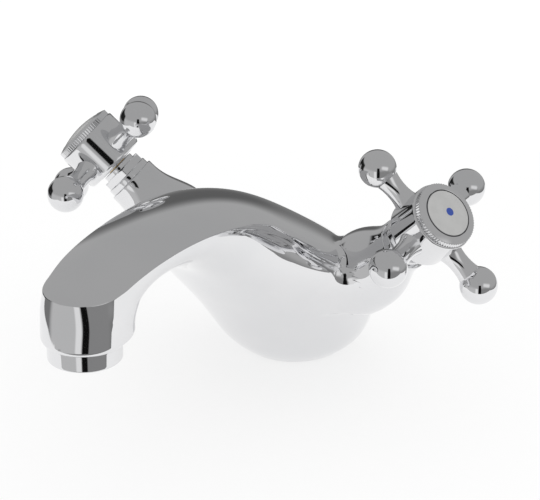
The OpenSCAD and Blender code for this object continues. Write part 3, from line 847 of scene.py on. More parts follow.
@dataclass(frozen=True)
class Nozzle:
    """The spout's end: a wall round a vertical axis, and the bore that takes the aerator.

    Attributes:
        y: place of its axis.
        end: height of its lower end.
        side_r: its radius to the sides.
        shoulder: by how much that radius is less at the crease.
        shoulder_z: heights between which it shrinks.
        taper: how fast the spout widens behind the axis, at the crease.
        taper_l: how far behind the axis that reaches.
        front_r: its radius to the front, above the rounded edge.
        front_slope: how fast the front leans back.
        lip: width and height of the lower edge's rounding.
        bore_r: radius of the bore.
        bore_top: height of its shoulder.
        room_r: radius of the room above the bore.
        room_top: height of the room.
    """

    y: float = -143.2
    end: float = 61.8
    side_r: float = 15.1
    shoulder: float = 0.8
    shoulder_z: tuple[float, float] = (70.0, 83.0)
    taper: float = 0.2
    taper_l: float = 9.0
    front_r: float = 14.78
    front_slope: float = 0.083
    lip: tuple[float, float] = (1.9, 2.4)
    bore_r: float = 11.95
    bore_top: float = 70.6
    room_r: float = 7.5
    room_top: float = 75.6

    def around(self, wall: Array, nose: Array) -> Array:
        """Moves the wall round the nozzle's axis onto one smooth surface.

        With s the sine of the angle from the side, its radius is R_side + (R_front - R_side) s^2
        low down, and R_front + (R_side - R_front) (1 - s)^3 at the crease's height; both less the
        rounding of the lower edge, a quarter of an ellipse. Behind the axis only x moves.

        Args:
            wall: points of the wall.
            nose: share of each point that belongs to the nozzle.

        Returns:
            The moved points.
        """
        height = wall[..., 2]
        fall, depth = self.lip
        foot = self.end + depth
        edge = fall * (1 - np.sqrt(1 - np.clip((foot - height) / depth, 0, 1) ** 2))
        high = smooth_ramp(height, *self.shoulder_z)
        low_side = self.side_r - edge
        high_side = low_side - self.shoulder
        front = self.front_r - edge - self.front_slope * (height - foot)
        ahead = wall[..., 1] - self.y
        away = np.maximum(np.hypot(wall[..., 0], ahead), TINY)
        facing = np.clip(-ahead / away, 0, 1)
        low_r = low_side + (front - low_side) * facing**2
        high_r = front + (high_side - front) * (1 - facing) ** 3
        target = low_r + (high_r - low_r) * high
        before = ahead < 0
        behind = low_side - (self.shoulder - self.taper * ahead) * high
        wanted = np.where(before, target / away, behind / np.maximum(wall[..., 0], TINY))
        grow = 1 + nose * smooth_ramp(-ahead, -self.taper_l, 0.0) * (wanted - 1)
        moved = wall.copy()
        moved[..., 0] = wall[..., 0] * grow
        moved[..., 1] = self.y + ahead * np.where(before, grow, 1.0)
        return moved

    def rows(self, edge: Array) -> Array:
        """Rows up the nozzle's bore and the room above it, closed by a point on its axis.

        Args:
            edge: last row of the skin.

        Returns:
            Rows whose points stand on circles at the edge's angles.
        """
        flat = edge[:, :2] - [0, self.y]
        flat = flat / np.linalg.norm(flat, axis=1, keepdims=True)
        radii = np.array([self.bore_r, self.bore_r, self.room_r, self.room_r, 0.0])
        heights = np.array([edge[0, 2], self.bore_top, self.bore_top, self.room_top, self.room_top])
        level = np.broadcast_to(heights[:, None, None], (len(heights), len(edge), 1))
        circles = radii[:, None, None] * flat[None] + [0, self.y]
        return np.concatenate([circles, level], axis=2)


@dataclass(frozen=True)
class Arm:
    """An arm of the body: a neck under the rim that swells into a bulb sunk in the body.

    Attributes:
        valves: the valve axes.
        rim_at: height of the rim on the valve's axis.
        rim_r: radius of the rim.
        collar_l: straight length below the rim.
        swell_l: length over which the arm swells.
        bulb_l: length over which it keeps its greatest radius.
        tail_l: length over which it closes inside the body.
        tail_share: share of that length that the skin still flows into.
        bulb_r: its greatest radius.
        rim_round: rounding of the rim.
        counterbore_r: radius of the room for the valve.
        counterbore_l: its depth.
        counterbore_edge: chamfer of its mouth.
        rows: rows of points along the flank and along the closing end.
        columns: points round the arm.
    """

    valves: ValveAxis
    rim_at: float = -14.6
    rim_r: float = 10.15
    collar_l: float = 0.9
    swell_l: float = 25.0
    bulb_l: float = 2.0
    tail_l: float = 18.0
    tail_share: float = 1 / 3
    bulb_r: float = 15.5
    rim_round: float = 0.35
    counterbore_r: float = 8.5
    counterbore_l: float = 26.6
    counterbore_edge: float = 0.2
    rows: tuple[int, int] = (64, 24)
    columns: int = 128

    def radius(self, below: Array) -> Array:
        """Radius of an arm at distances below the handle's centre.

        It goes from the rim's to the bulb's by t^3 (10 - 15 t + 6 t^2), which starts and ends
        without a change of slope, and closes as an ellipse inside the body.

        Args:
            below: distances down the axis.

        Returns:
            The radii.
        """
        start = self.collar_l - self.rim_at
        t = np.clip((below - start) / self.swell_l, 0, 1)
        swollen = self.rim_r + (self.bulb_r - self.rim_r) * t**3 * (10 - 15 * t + 6 * t * t)
        closing = np.clip((below - start - self.swell_l - self.bulb_l) / self.tail_l, 0, 1)
        return swollen * np.sqrt(1 - closing**2)

    def gap(self, points: Array) -> Array:
        """Distance of points from the cold arm's surface, below zero inside it.

        Beside the arm it is (distance from the axis - radius) / sqrt(1 + slope^2), with the slope
        counted up to 1, and past the end of its counted length the distance from that end.

        Args:
            points: where to measure.

        Returns:
            One distance a point.
        """
        axis = self.valves.of(Side.COLD)
        from_centre = points - axis.centre
        below = -(from_centre @ axis.along)
        away = np.linalg.norm(from_centre + below[..., None] * axis.along, axis=-1)
        step = 0.1
        slope = (self.radius(below + step) - self.radius(below - step)) / (2 * step)
        beside = (away - self.radius(below)) / np.sqrt(1 + np.minimum(slope**2, 1))
        counted = self.swell_l + self.bulb_l + self.tail_l * self.tail_share
        end = self.collar_l - self.rim_at + counted
        return np.maximum(beside, below - end)

    def add(self, shell: Shell, side: Side) -> None:
        """Adds one arm: a neck under the rim that swells into a bulb sunk in the body.

        Args:
            shell: where the surface goes.
            side: which arm.
        """
        start = self.collar_l - self.rim_at
        full = start + self.swell_l + self.bulb_l
        flank_rows, end_rows = self.rows
        closing = np.sin(np.linspace(0, np.pi / 2, end_rows))[1:]
        below = np.concatenate([np.linspace(start, full, flank_rows), full + self.tail_l * closing])
        flank = np.stack([self.radius(below), -below], 1)
        lip = self.rim_round
        out = self.rim_r - lip + lip * np.sin(QUARTER_ARC)
        edge = np.stack([out, self.rim_at - lip + lip * np.cos(QUARTER_ARC)], 1)
        well = self.counterbore_l - self.rim_at
        inside = np.array([
            [0.0, -well],
            [self.counterbore_r, -well],
            [self.counterbore_r, self.rim_at - self.counterbore_edge],
            [self.counterbore_r + self.counterbore_edge, self.rim_at],
        ])
        outline = np.vstack([inside, edge, flank])
        shell.turned(self.valves.of(side), outline, self.columns)


@dataclass
class TapBody:
    """The cast body: foot, shoulders, spout with its nozzle, and both arms.

    The skin is lofted through stations from the foot to the nozzle. A station has a keel, a side,
    a crease and a crest, and its half section runs over them: hull, wall, rounded crease, crown.

    Attributes:
        arm: the arms.
        nozzle: the spout's end.
        foot: the underside.
        rows_per_station: rows of points between two stations.
        hull_steps: points of a half row from the keel to the side.
        wall_steps: points from the side to the crease.
        fillet_steps: points round the crease.
        crown_steps: points from the crease to the crest.
        fillet: how far from the crease its rounding begins.
        fillet_share: largest share of the crown's half width that it takes.
        fillet_limit: largest share of the wall and of the crown that it takes.
        least_half: least half width that the wall's curve reckons with.
        tip: number of the station at which the crown ends in a point.
        calm_until: stations between which the evening out fades away.
        calm_width: width of the bell that evens them out, in stations.
        nose_lead: how far behind the nozzle's axis the crease begins to be the nozzle's.
        nose_l: length over which it becomes so.
        nose_fade: share of the wall over which it does, from the side.
        nose_whole: stations between which the side becomes the nozzle's too.
        blend_low: height below which body and arm run together most, and how widely.
        blend_high: height above which they meet in a valley, and its width.
        blend_search: how far out the common surface is searched, in widths.
        blend_fade: distance from the arm, in the greatest widths, beyond which the skin stays.
        halvings: steps of that search.
        dive: how deep the skin lies under the arm.
    """

    arm: Arm
    nozzle: Nozzle
    foot: Foot = Foot()
    rows_per_station: int = 12
    hull_steps: int = 40
    wall_steps: int = 34
    fillet_steps: int = 6
    crown_steps: int = 28
    fillet: float = 0.6
    fillet_share: float = 0.45
    fillet_limit: float = 0.4
    least_half: float = 4.0
    tip: int = 17
    calm_until: tuple[float, float] = (11.0, 14.0)
    calm_width: float = 0.8
    nose_lead: float = 6.0
    nose_l: float = 8.0
    nose_fade: float = 0.35
    nose_whole: tuple[float, float] = (15.0, 16.5)
    blend_low: tuple[float, float] = (46.0, 9.0)
    blend_high: tuple[float, float] = (63.0, 1.4)
    blend_search: float = 1.6
    blend_fade: float = 1.2
    halvings: int = 22
    dive: float = 7.0

    def rows(self) -> tuple[Array, Array]:
        """Stations between the drawn ones, on a Catmull-Rom curve, evened out over the body.

        Returns:
            The position of each row in stations, and its values as in STATIONS.
        """
        last = len(STATIONS) - 1
        u = np.linspace(0, last, last * self.rows_per_station + 1)
        whole = np.clip(np.floor(u).astype(int), 0, last - 1)
        t = (u - whole)[:, None]
        ends = (2 * STATIONS[0] - STATIONS[1], STATIONS, 2 * STATIONS[-1] - STATIONS[-2])
        drawn = np.vstack(ends)
        a, b, c, d = (drawn[whole + k] for k in range(4))
        bend = (2 * a - 5 * b + 4 * c - d) * t**2 + (3 * b - a - 3 * c + d) * t**3
        curve = 0.5 * (2 * b + (c - a) * t + bend)
        return u, self.calmed(u, curve)

    def calmed(self, u: Array, curve: Array) -> Array:
        """Evens out the rows with a bell-shaped mean that leaves the foot and the nozzle as drawn.

        A row at a distance of d stations counts by exp(-(d / calm_width)^2 / 2).

        Args:
            u: position of each row in stations.
            curve: values of each row.

        Returns:
            The evened values.
        """
        reach = 2 * self.rows_per_station
        head = 2 * curve[:1] - curve[reach:0:-1]
        tail = 2 * curve[-1:] - curve[-2:-reach - 2:-1]
        long = np.vstack([head, curve, tail])
        offset = np.arange(-reach, reach + 1)
        bell = np.exp(-0.5 * (offset / (self.calm_width * self.rows_per_station)) ** 2)
        bell /= bell.sum()
        window = np.arange(len(curve))[:, None] + np.arange(2 * reach + 1)[None]
        even = np.einsum("k,nkc->nc", bell, long[window])
        share = 1 - smooth_ramp(u, *self.calm_until)[:, None]
        return curve + share * (even - curve)

    def half_rows(self) -> Array:
        """Half sections from the keel to the crest.

        Hull, for a from 0 to 90 degrees and e = 2 / fullness: x = Sx sin(a)^e, and (y, z) goes from
        keel to side by 1 - cos(a)^e. Wall: a quadratic curve from side to crease, which turns into
        a circle round the nozzle's axis where the crease lies beyond it. Crown: x falls evenly from
        the crease to 0 while (y, z) nears the crest by the square. The crease itself is a quadratic
        curve between a point of the wall and one of the crown.

        Returns:
            Grid of half rows.
        """
        u, table = self.rows()
        ky, kz, sy, sz, sx, ey, ez, ex, ty, tz, full, soft = (c[:, None] for c in table.T)
        past = u[:, None] >= self.tip
        late = smooth_ramp(u[:, None], *self.nose_whole)
        ex = np.where(past, 0.0, np.maximum(ex, 0.0))
        turn = np.linspace(0, np.pi / 2, self.hull_steps)[None]
        power = 2 / full
        fall = 1 - np.cos(turn) ** power
        hull = np.stack([sx * np.sin(turn) ** power, ky + (sy - ky) * fall, kz + (sz - kz) * fall], -1)

        def wall(g: Array) -> Array:
            """Wall from the side to the crease.

            Args:
                g: 0 at the side to 1 at the crease.

            Returns:
                Points of the wall.
            """
            soft_share = np.clip(soft, 0, 1)
            lift = (sx - ex) / np.maximum(ex, self.least_half)
            y1 = (1 - soft_share) * (sy + ey) / 2 + soft_share * (ey + 2 * (ey - ty) * lift)
            z1 = (1 - soft_share) * (sz + ez) / 2 + soft_share * (ez + 2 * (ez - tz) * lift)
            b0, b1, b2 = (1 - g) ** 2, 2 * g * (1 - g), g**2
            flat_x, flat_y = (b0 + b1) * sx + b2 * ex, b0 * sy + b1 * y1 + b2 * ey
            whole = np.arccos(np.clip(ex / sx, 0, 1))
            round_x = sx * np.cos(whole * g)
            round_y = sy + (ey - sy) * np.sin(whole * g) / np.maximum(np.sin(whole), TINY)
            nose = np.clip((self.nozzle.y - ey + self.nose_lead) / self.nose_l, 0, 1)
            x = flat_x * (1 - nose) + round_x * nose
            y = flat_y * (1 - nose) + round_y * nose
            z = b0 * sz + b1 * z1 + b2 * ez
            taken = np.maximum(smooth_ramp(g, 0.0, self.nose_fade), late)
            return self.nozzle.around(np.stack([x, y, z], -1), np.where(past, 1.0, nose * taken))

        crease = wall(np.ones_like(sx))

        def crown(v: Array) -> Array:
            """Crown from the crease to the crest.

            Args:
                v: 0 at the crease to 1 at the crest.

            Returns:
                Points of the crown.
            """
            q = (1 - v) ** 2
            x, y, z = (crease[..., k] for k in range(3))
            crest_y, crest_z = np.where(past, y, ty), np.where(past, z, tz)
            return np.stack([x * (1 - v), crest_y + (y - crest_y) * q, crest_z + (z - crest_z) * q], -1)

        small = 1e-3
        wall_speed = np.linalg.norm(crease - wall(np.full_like(sx, 1 - small)), axis=-1) / small
        crown_speed = np.linalg.norm(crown(np.full_like(sx, small)) - crease, axis=-1) / small
        room = np.minimum(self.fillet, self.fillet_share * np.maximum(ex, 0))
        g_end = 1 - np.clip(room / np.maximum(wall_speed, TINY), 0, self.fillet_limit)
        v_start = np.clip(room / np.maximum(crown_speed, TINY), 0, self.fillet_limit)
        side = wall(np.linspace(0, 1, self.wall_steps + 1)[None, 1:] * g_end)
        v = np.linspace(0, 1, self.crown_steps + 1)[None]
        top = crown(v_start + (1 - v_start) * v)
        t = np.linspace(0, 1, self.fillet_steps + 1)[None, 1:-1, None]
        first, last = side[:, -1:], top[:, :1]
        fillet = (1 - t) ** 2 * first + 2 * t * (1 - t) * crease + t**2 * last
        half = np.concatenate([hull, side, fillet, top], axis=1)
        half[:, 0, 0] = 0.0
        half[:, -1, 0] = 0.0
        return half

    def flowed(self, half: Array) -> Array:
        """Lets the half skin flow into the arm.

        Every point moves out along its normal until the smooth least of two distances is nothing:
        t to the skin and b to the arm, where the smooth least is min(t, b) - k h^2 / 4 with
        h = max(0, 1 - |t - b| / k). Points that reach the arm's surface dive under it.

        Args:
            half: grid of the half skin.

        Returns:
            The moved grid.
        """
        normal = np.cross(np.gradient(half, axis=1), np.gradient(half, axis=0))
        least = 1e-9
        normal /= np.maximum(np.linalg.norm(normal, axis=-1, keepdims=True), least)
        outer = np.unravel_index(np.argmax(half[..., 0]), half.shape[:2])
        normal *= np.sign(normal[outer][0])
        (low, wide), (high, narrow) = self.blend_low, self.blend_high
        width = wide + (narrow - wide) * smooth_ramp(half[..., 2], low, high)
        near, far = np.zeros_like(width), self.blend_search * width
        for _ in range(self.halvings):
            t = (near + far) / 2
            gap = self.arm.gap(half + t[..., None] * normal)
            h = np.clip(1 - np.abs(t - gap) / width, 0, 1)
            outside = np.minimum(t, gap) - width * h * h / 4 > 0
            near, far = np.where(outside, near, t), np.where(outside, t, far)
        move = near * smooth_ramp(-self.arm.gap(half), -self.blend_fade * wide, -wide)
        under = smooth_ramp(near / width, 1.0, self.blend_search)
        move = move * (1 - under) - self.dive * under
        return half + move[..., None] * normal

    def skin(self, shell: Shell) -> None:
        """Adds the lofted skin with the foot's recess and the nozzle's bore, as one closed surface.

        Args:
            shell: where the surface goes.
        """
        half = self.flowed(self.half_rows())
        ring = np.concatenate([half, half[:, -2:0:-1] * np.array([-1.0, 1.0, 1.0])], axis=1)
        foot = self.foot.rows(ring[0])
        nozzle = self.nozzle.rows(ring[-1])
        whole = np.concatenate([foot, ring, nozzle])
        quads = grid_quads(len(whole), whole.shape[1], False, True)
        points = whole.reshape(-1, 3)
        ceiling_points, ceiling_quads = self.foot.ceiling(foot[0])
        holes = [self.foot.hole(*hole) for hole in self.foot.inlets]
        parts = [(points, quads), (ceiling_points, ceiling_quads), *holes]
        starts = np.cumsum([0, *[len(p) for p, _ in parts[:-1]]])
        shell.add(
            np.vstack([p for p, _ in parts]),
            np.vstack([q + start for (_, q), start in zip(parts, starts)]),
        )

    def make(self) -> None:
        """Builds the body, dresses it and lets it stand for the CAD body."""
        shell = Shell()
        self.skin(shell)
        self.arm.add(shell, Side.HOT)
        self.arm.add(shell, Side.COLD)
        fit(shell, "tap_casting", CHROME, "tap_body", "body", crease=40.0)


@dataclass
class ValveGland:
    """What shows of a valve between arm and handle: collar, hexagon and turret, with its barrel.

    Attributes:
        arm: the arm whose rim the collar stands on.
        collar_r: radius of the collar.
        flats: width of the hexagon across its flats.
        corner_r: radius to which the hexagon's corners are turned.
        turret_r: radius of the turret.
        tops: heights of the collar's, the hexagon's and the turret's top.
        neck_r: radius of the groove for the body seal.
        neck_end: height of its lower end.
        barrel_r: radius of the threaded barrel.
        barrel_end: height of its lower end.
        skirt_r: radius of the skirt round the ceramic discs.
        skirt_end: height of its lower edge.
        bore_r: radius of the spindle's bore.
        chamber_r: radius inside the skirt.
        columns: angles round the axis.
        chamfer: width and height of the hexagon's turned upper edge.
        step: how far the collar's flat top reaches in under the hexagon.
        turret_round: rounding of the turret's top.
        collar_round: rounding of the collar's top.
        cut_from: radius beyond which the hexagon's flats cut the outline.
        sides: number of flats.
    """

    arm: Arm
    collar_r: float = 9.2
    flats: float = 17.0
    corner_r: float = 9.65
    turret_r: float = 6.9
    tops: tuple[float, float, float] = (-11.95, -9.0, -7.1)
    neck_r: float = 7.16
    neck_end: float = -15.94
    barrel_r: float = 8.33
    barrel_end: float = -26.0
    skirt_r: float = 7.0
    skirt_end: float = -38.5
    bore_r: float = 4.05
    chamber_r: float = 6.0
    columns: int = 240
    chamfer: tuple[float, float] = (0.75, 0.42)
    step: float = 0.8
    turret_round: float = 0.45
    collar_round: float = 0.55
    cut_from: float = 7.5
    sides: int = 6

    def outline(self) -> Array:
        """Closed outline from the bore over the turret, hexagon and collar to the skirt.

        Returns:
            Points as (radius, height).
        """
        rim = self.arm.rim_at
        collar, hexagon, turret = self.tops
        width, height = self.chamfer
        return rounded([
            (self.bore_r, turret, Edge.FILED),
            (self.turret_r, turret, self.turret_round),
            (self.turret_r, hexagon, Edge.FINE),
            (self.corner_r - width, hexagon, Edge.BROKEN),
            (self.corner_r, hexagon - height, Edge.BROKEN),
            (self.corner_r, collar, Edge.SHARP),
            (self.collar_r - self.step, collar, 0.0),
            (self.collar_r, collar, self.collar_round),
            (self.collar_r, rim, Edge.FINE),
            (self.neck_r, rim, Edge.SHARP),
            (self.neck_r, self.neck_end, Edge.SHARP),
            (self.barrel_r, self.neck_end, Edge.SOFT),
            (self.barrel_r, self.barrel_end, Edge.SOFT),
            (self.skirt_r, self.barrel_end, Edge.SHARP),
            (self.skirt_r, self.skirt_end, Edge.EASED),
            (self.chamber_r, self.skirt_end, Edge.EASED),
            (self.chamber_r, self.barrel_end, Edge.SHARP),
            (self.bore_r, self.barrel_end, Edge.SHARP),
        ])

    def make(self, side: Side) -> None:
        """Builds one gland and lets it stand for the CAD valve body.

        Args:
            side: which valve.
        """
        outline = self.outline()
        angle = np.degrees(np.arange(self.columns) * FULL_TURN / self.columns)
        sector = 360 / self.sides
        flat = self.flats / 2 / np.cos(np.radians(angle % sector - sector / 2))
        collar, hexagon, _ = self.tops
        radius, height = outline.T
        cut = (height > collar - TINY) & (height < hexagon + TINY) & (radius > self.cut_from)
        shell = Shell()
        shell.turned(self.arm.valves.of(side), outline, self.columns, flat, cut)
        node = side.node("valve_body")
        fit(shell, side.node("gland"), CHROME, "tap_body", node, crease=28.0)


@dataclass
class CrossHandle:
    """A cross handle: a hub like a short barrel and four arms that narrow and end in balls.

    Attributes:
        valves: the valve axes.
        clocks: angle of the first arm on the hot and the cold side.
        hub_r: radius of the hub.
        hub_low: height of its underside.
        hub_high: height of its upper edge.
        low_round: rounding of its lower edge.
        high_round: rounding of its upper edge.
        recess_r: radius of the recess under the cap ring.
        web: height of the recess's floor.
        clip_r: radius of the recess for the clip.
        clip_top: height of that recess.
        bore_r: radius of the spindle's socket.
        bore_top: height of the socket.
        screw_r: radius of the screw's hole.
        ball_at: distance of a ball's centre from the axis.
        ball_r: radius of a ball.
        waist_at: where an arm is thinnest.
        waist_r: its radius there.
        root_r: its radius at the hub.
        neck_r: its radius where it meets the ball.
        root_sunk: how far it reaches into the hub.
        flare: power by which it widens from its waist.
        arms: number of arms.
        spans: points from the root to the waist, to the ball and round the ball.
        columns: points round the hub and round an arm.
    """

    valves: ValveAxis
    clocks: dict[Side, float] = field(default_factory=lambda: {Side.HOT: 69.3, Side.COLD: 16.7})
    hub_r: float = 12.8
    hub_low: float = -6.5
    hub_high: float = 9.4
    low_round: float = 1.5
    high_round: float = 0.75
    recess_r: float = 9.6
    web: float = 4.6
    clip_r: float = 6.0
    clip_top: float = -5.65
    bore_r: float = 4.05
    bore_top: float = 1.5
    screw_r: float = 2.2
    ball_at: float = 28.0
    ball_r: float = 7.0
    waist_at: float = 17.3
    waist_r: float = 3.8
    root_r: float = 4.45
    neck_r: float = 4.45
    root_sunk: float = 4.0
    flare: float = 2.2
    arms: int = 4
    spans: tuple[int, int, int] = (30, 16, 44)
    columns: tuple[int, int] = (160, 80)

    def hub(self) -> Array:
        """Closed outline of the hub with its socket and recess.

        Returns:
            Points as (radius, height).
        """
        return rounded([
            (self.clip_r, self.hub_low, Edge.EASED),
            (self.hub_r, self.hub_low, self.low_round),
            (self.hub_r, self.hub_high, self.high_round),
            (self.recess_r, self.hub_high, Edge.FILED),
            (self.recess_r, self.web, Edge.SOFT),
            (self.screw_r, self.web, Edge.BROKEN),
            (self.screw_r, self.bore_top, Edge.BROKEN),
            (self.bore_r, self.bore_top, Edge.BROKEN),
            (self.bore_r, self.clip_top, Edge.BROKEN),
            (self.clip_r, self.clip_top, Edge.BROKEN),
        ])

    def spoke(self) -> Array:
        """Outline of an arm with its ball, along the arm's own axis.

        The radius grows from the waist by a power of the distance, towards the hub and towards
        the ball, and the ball is a circle about its centre.

        Returns:
            Points as (radius, distance from the handle's axis).
        """
        start = self.hub_r - self.root_sunk
        to_waist, to_ball, round_ball = self.spans
        join = self.ball_at - np.sqrt(self.ball_r**2 - self.neck_r**2)
        inner = np.linspace(start, self.waist_at, to_waist)
        outer = np.linspace(self.waist_at, join, to_ball)[1:]
        towards_hub = (self.waist_at - inner) / (self.waist_at - self.hub_r)
        towards_ball = (outer - self.waist_at) / (join - self.waist_at)
        root = self.waist_r + (self.root_r - self.waist_r) * towards_hub**self.flare
        neck = self.waist_r + (self.neck_r - self.waist_r) * towards_ball**self.flare
        first = np.arccos(-(self.ball_at - join) / self.ball_r)
        turn = np.linspace(first, 0, round_ball)[1:]
        ball = np.stack([self.ball_r * np.sin(turn), self.ball_at + self.ball_r * np.cos(turn)], 1)
        ball[-1, 0] = 0.0
        stem = np.stack([np.r_[root, neck], np.r_[inner, outer]], 1)
        return np.vstack([[[0.0, start]], stem, ball])

    def make(self, side: Side) -> None:
        """Builds one handle and lets it stand for the CAD handle.

        Args:
            side: which handle.
        """
        axis = self.valves.of(side)
        shell = Shell()
        hub_columns, arm_columns = self.columns
        shell.turned(axis, self.hub(), hub_columns)
        for arm in range(self.arms):
            out = axis.spoke(self.clocks[side] + 360 / self.arms * arm)
            shell.turned(out, self.spoke(), arm_columns)
        name = side.node("cross_handle")
        fit(shell, name, CHROME, side.body(), side.node("handle"))


@dataclass
class IndexCap:
    """The cap on a hub: a ring with a knurled edge and a bezel, and the domed disc in it.

    Attributes:
        handle: the handle whose hub the ring stands on.
        ring_r: radius over the knurl.
        depth: depth of the knurl's grooves.
        teeth: grooves round the ring.
        high: height at which the bezel's dome begins.
        dome_h: rise of the dome above that height.
        disc_r: radius of the disc.
        seat: height of the ledge under the disc.
        ledge: width of that ledge.
        spigot_r: radius of the spigot in the hub.
        spigot_end: height of its lower end.
        sunk: how far the disc lies below the bezel.
        gap: room round the disc.
        inset: step between the grooves' ground and the bezel.
        knurl_round: rounding of the knurl's lower edge.
        bezel_edge: width and depth of the chamfer at the bezel's inner edge.
        bezel_steps: points across the bezel.
        margin: how close to the bezel the skirt's outline ends.
        tooth_columns: points round a groove.
        spacing: longest span of the skirt's straight runs.
        disc_round: rounding of the disc's edge.
        dome_steps: points from the disc's edge to its middle.
        disc_columns: points round the disc.
    """

    handle: CrossHandle
    ring_r: float = 12.2
    depth: float = 0.35
    teeth: int = 72
    high: float = 11.6
    dome_h: float = 2.3
    disc_r: float = 9.15
    seat: float = 10.0
    ledge: float = 1.2
    spigot_r: float = 9.5
    spigot_end: float = 6.2
    sunk: float = 0.15
    gap: float = 0.1
    inset: float = 0.15
    knurl_round: float = 0.28
    bezel_edge: tuple[float, float] = (0.12, 0.1)
    bezel_steps: int = 14
    margin: float = 0.03
    tooth_columns: int = 8
    spacing: float = 0.4
    disc_round: float = 0.22
    dome_steps: int = 40
    disc_columns: int = 144

    def dome(self, r: Array) -> Array:
        """Height of the dome, which is a sphere of the radius (edge^2 + rise^2) / (2 rise).

        Args:
            r: distance from the axis.

        Returns:
            The height there.
        """
        edge = self.ring_r - self.depth
        sphere = (edge**2 + self.dome_h**2) / (2 * self.dome_h)
        return self.high + self.dome_h - sphere + np.sqrt(sphere**2 - r**2)

    def ring(self, side: Side) -> None:
        """Builds the knurled ring, whose grooves follow 1 - cos(teeth a), and its bezel.

        Args:
            side: which cap.
        """
        low = self.handle.hub_high
        inner = self.disc_r + self.gap
        outer = self.ring_r - self.depth - self.inset
        width, depth = self.bezel_edge
        bezel = np.linspace(outer, inner + width, self.bezel_steps)
        skirt = rounded([
            (self.disc_r - self.ledge, self.spigot_end, Edge.BROKEN),
            (self.spigot_r, self.spigot_end, Edge.SOFT),
            (self.spigot_r, low, Edge.SHARP),
            (self.ring_r, low, self.knurl_round),
            (self.ring_r, self.high, Edge.SOFT),
            (outer, self.high, Edge.RAZOR),
        ], spacing=self.spacing)
        radius, height = skirt.T
        at_bezel = (height > self.high - TINY) & (radius < outer + self.margin)
        skirt = skirt[: np.argmax(at_bezel) + 1]
        inside = np.array([
            [inner, self.dome(np.array(inner)) - depth],
            [inner, self.seat],
            [self.disc_r - self.ledge, self.seat],
        ])
        outline = np.vstack([skirt, np.stack([bezel, self.dome(bezel)], 1), inside])
        columns = self.teeth * self.tooth_columns
        angle = np.arange(columns) * FULL_TURN / columns
        grooved = self.ring_r - self.depth * (0.5 - 0.5 * np.cos(self.teeth * angle))
        cut = outline[:, 1] > low - TINY
        shell = Shell()
        shell.turned(self.handle.valves.of(side), outline, columns, grooved, cut)
        name = side.node("knurled_ring")
        fit(shell, name, CHROME, side.body(), side.node("index_ring"))

    def disc(self, side: Side) -> None:
        """Builds the disc: a sphere's cap with a rounded edge, its UV laid flat over it.

        Args:
            side: which cap.
        """
        edge_high = self.dome(np.array(self.disc_r)) - self.sunk
        arc = QUARTER_ARC[1:]
        soft = self.disc_round
        rounding = np.stack([
            self.disc_r - soft + soft * np.cos(arc),
            edge_high - soft + soft * np.sin(arc),
        ], 1)
        r = np.linspace(self.disc_r - soft, 0, self.dome_steps)[1:]
        top = np.stack([r, self.dome(r) - self.sunk], 1)
        start = [[0.0, self.seat], [self.disc_r, self.seat], [self.disc_r, edge_high - soft]]
        outline = np.vstack([start, rounding, top])
        axis = self.handle.valves.of(side)
        shell = Shell()
        shell.turned(axis, outline, self.disc_columns)
        away = shell.points[0] - axis.centre
        plan = np.stack([away @ axis.across, away @ axis.sideways], 1)
        shell.maps.append(0.5 + plan / (2 * self.disc_r))
        name = side.node("glazed_disc")
        fit(shell, name, glaze(side), side.body(), side.node("index_disc"))

    def make(self, side: Side) -> None:
        """Builds the ring and the disc of one side."""
        self.ring(side)
        self.disc(side)


@dataclass
class Aerator:
    """The short ring under the nozzle that holds the flow straightener.

    Attributes:
        nozzle: the spout's end, which the skirt stands against.
        r: radius of its skirt.
        low: height of its lower edge.
        thread_r: radius of the thread above it.
        top: height of the thread's end.
        bore_r: radius inside.
        lip_r: radius of the opening in the lower lip.
        lip_h: height of that lip.
        lip_round: rounding of the skirt's lower edge.
        columns: points round the ring.
    """

    nozzle: Nozzle
    r: float = 13.0
    low: float = 55.4
    thread_r: float = 11.9
    top: float = 68.8
    bore_r: float = 10.9
    lip_r: float = 10.1
    lip_h: float = 1.2
    lip_round: float = 0.7
    columns: int = 160

    def make(self) -> None:
        """Builds the ring and lets it stand for the CAD housing."""
        high = self.nozzle.end
        outline = rounded([
            (self.lip_r, self.low, Edge.SOFT),
            (self.r, self.low, self.lip_round),
            (self.r, high, Edge.FILED),
            (self.thread_r, high, Edge.SHARP),
            (self.thread_r, self.top, Edge.SOFT),
            (self.bore_r, self.top, Edge.BROKEN),
            (self.bore_r, self.low + self.lip_h, Edge.BROKEN),
            (self.lip_r, self.low + self.lip_h, Edge.BROKEN),
        ])
        shell = Shell()
        shell.turned(upright(0.0, self.nozzle.y), outline, self.columns)
        fit(shell, "aerator_ring", CHROME, "tap_body", "aerator_housing")


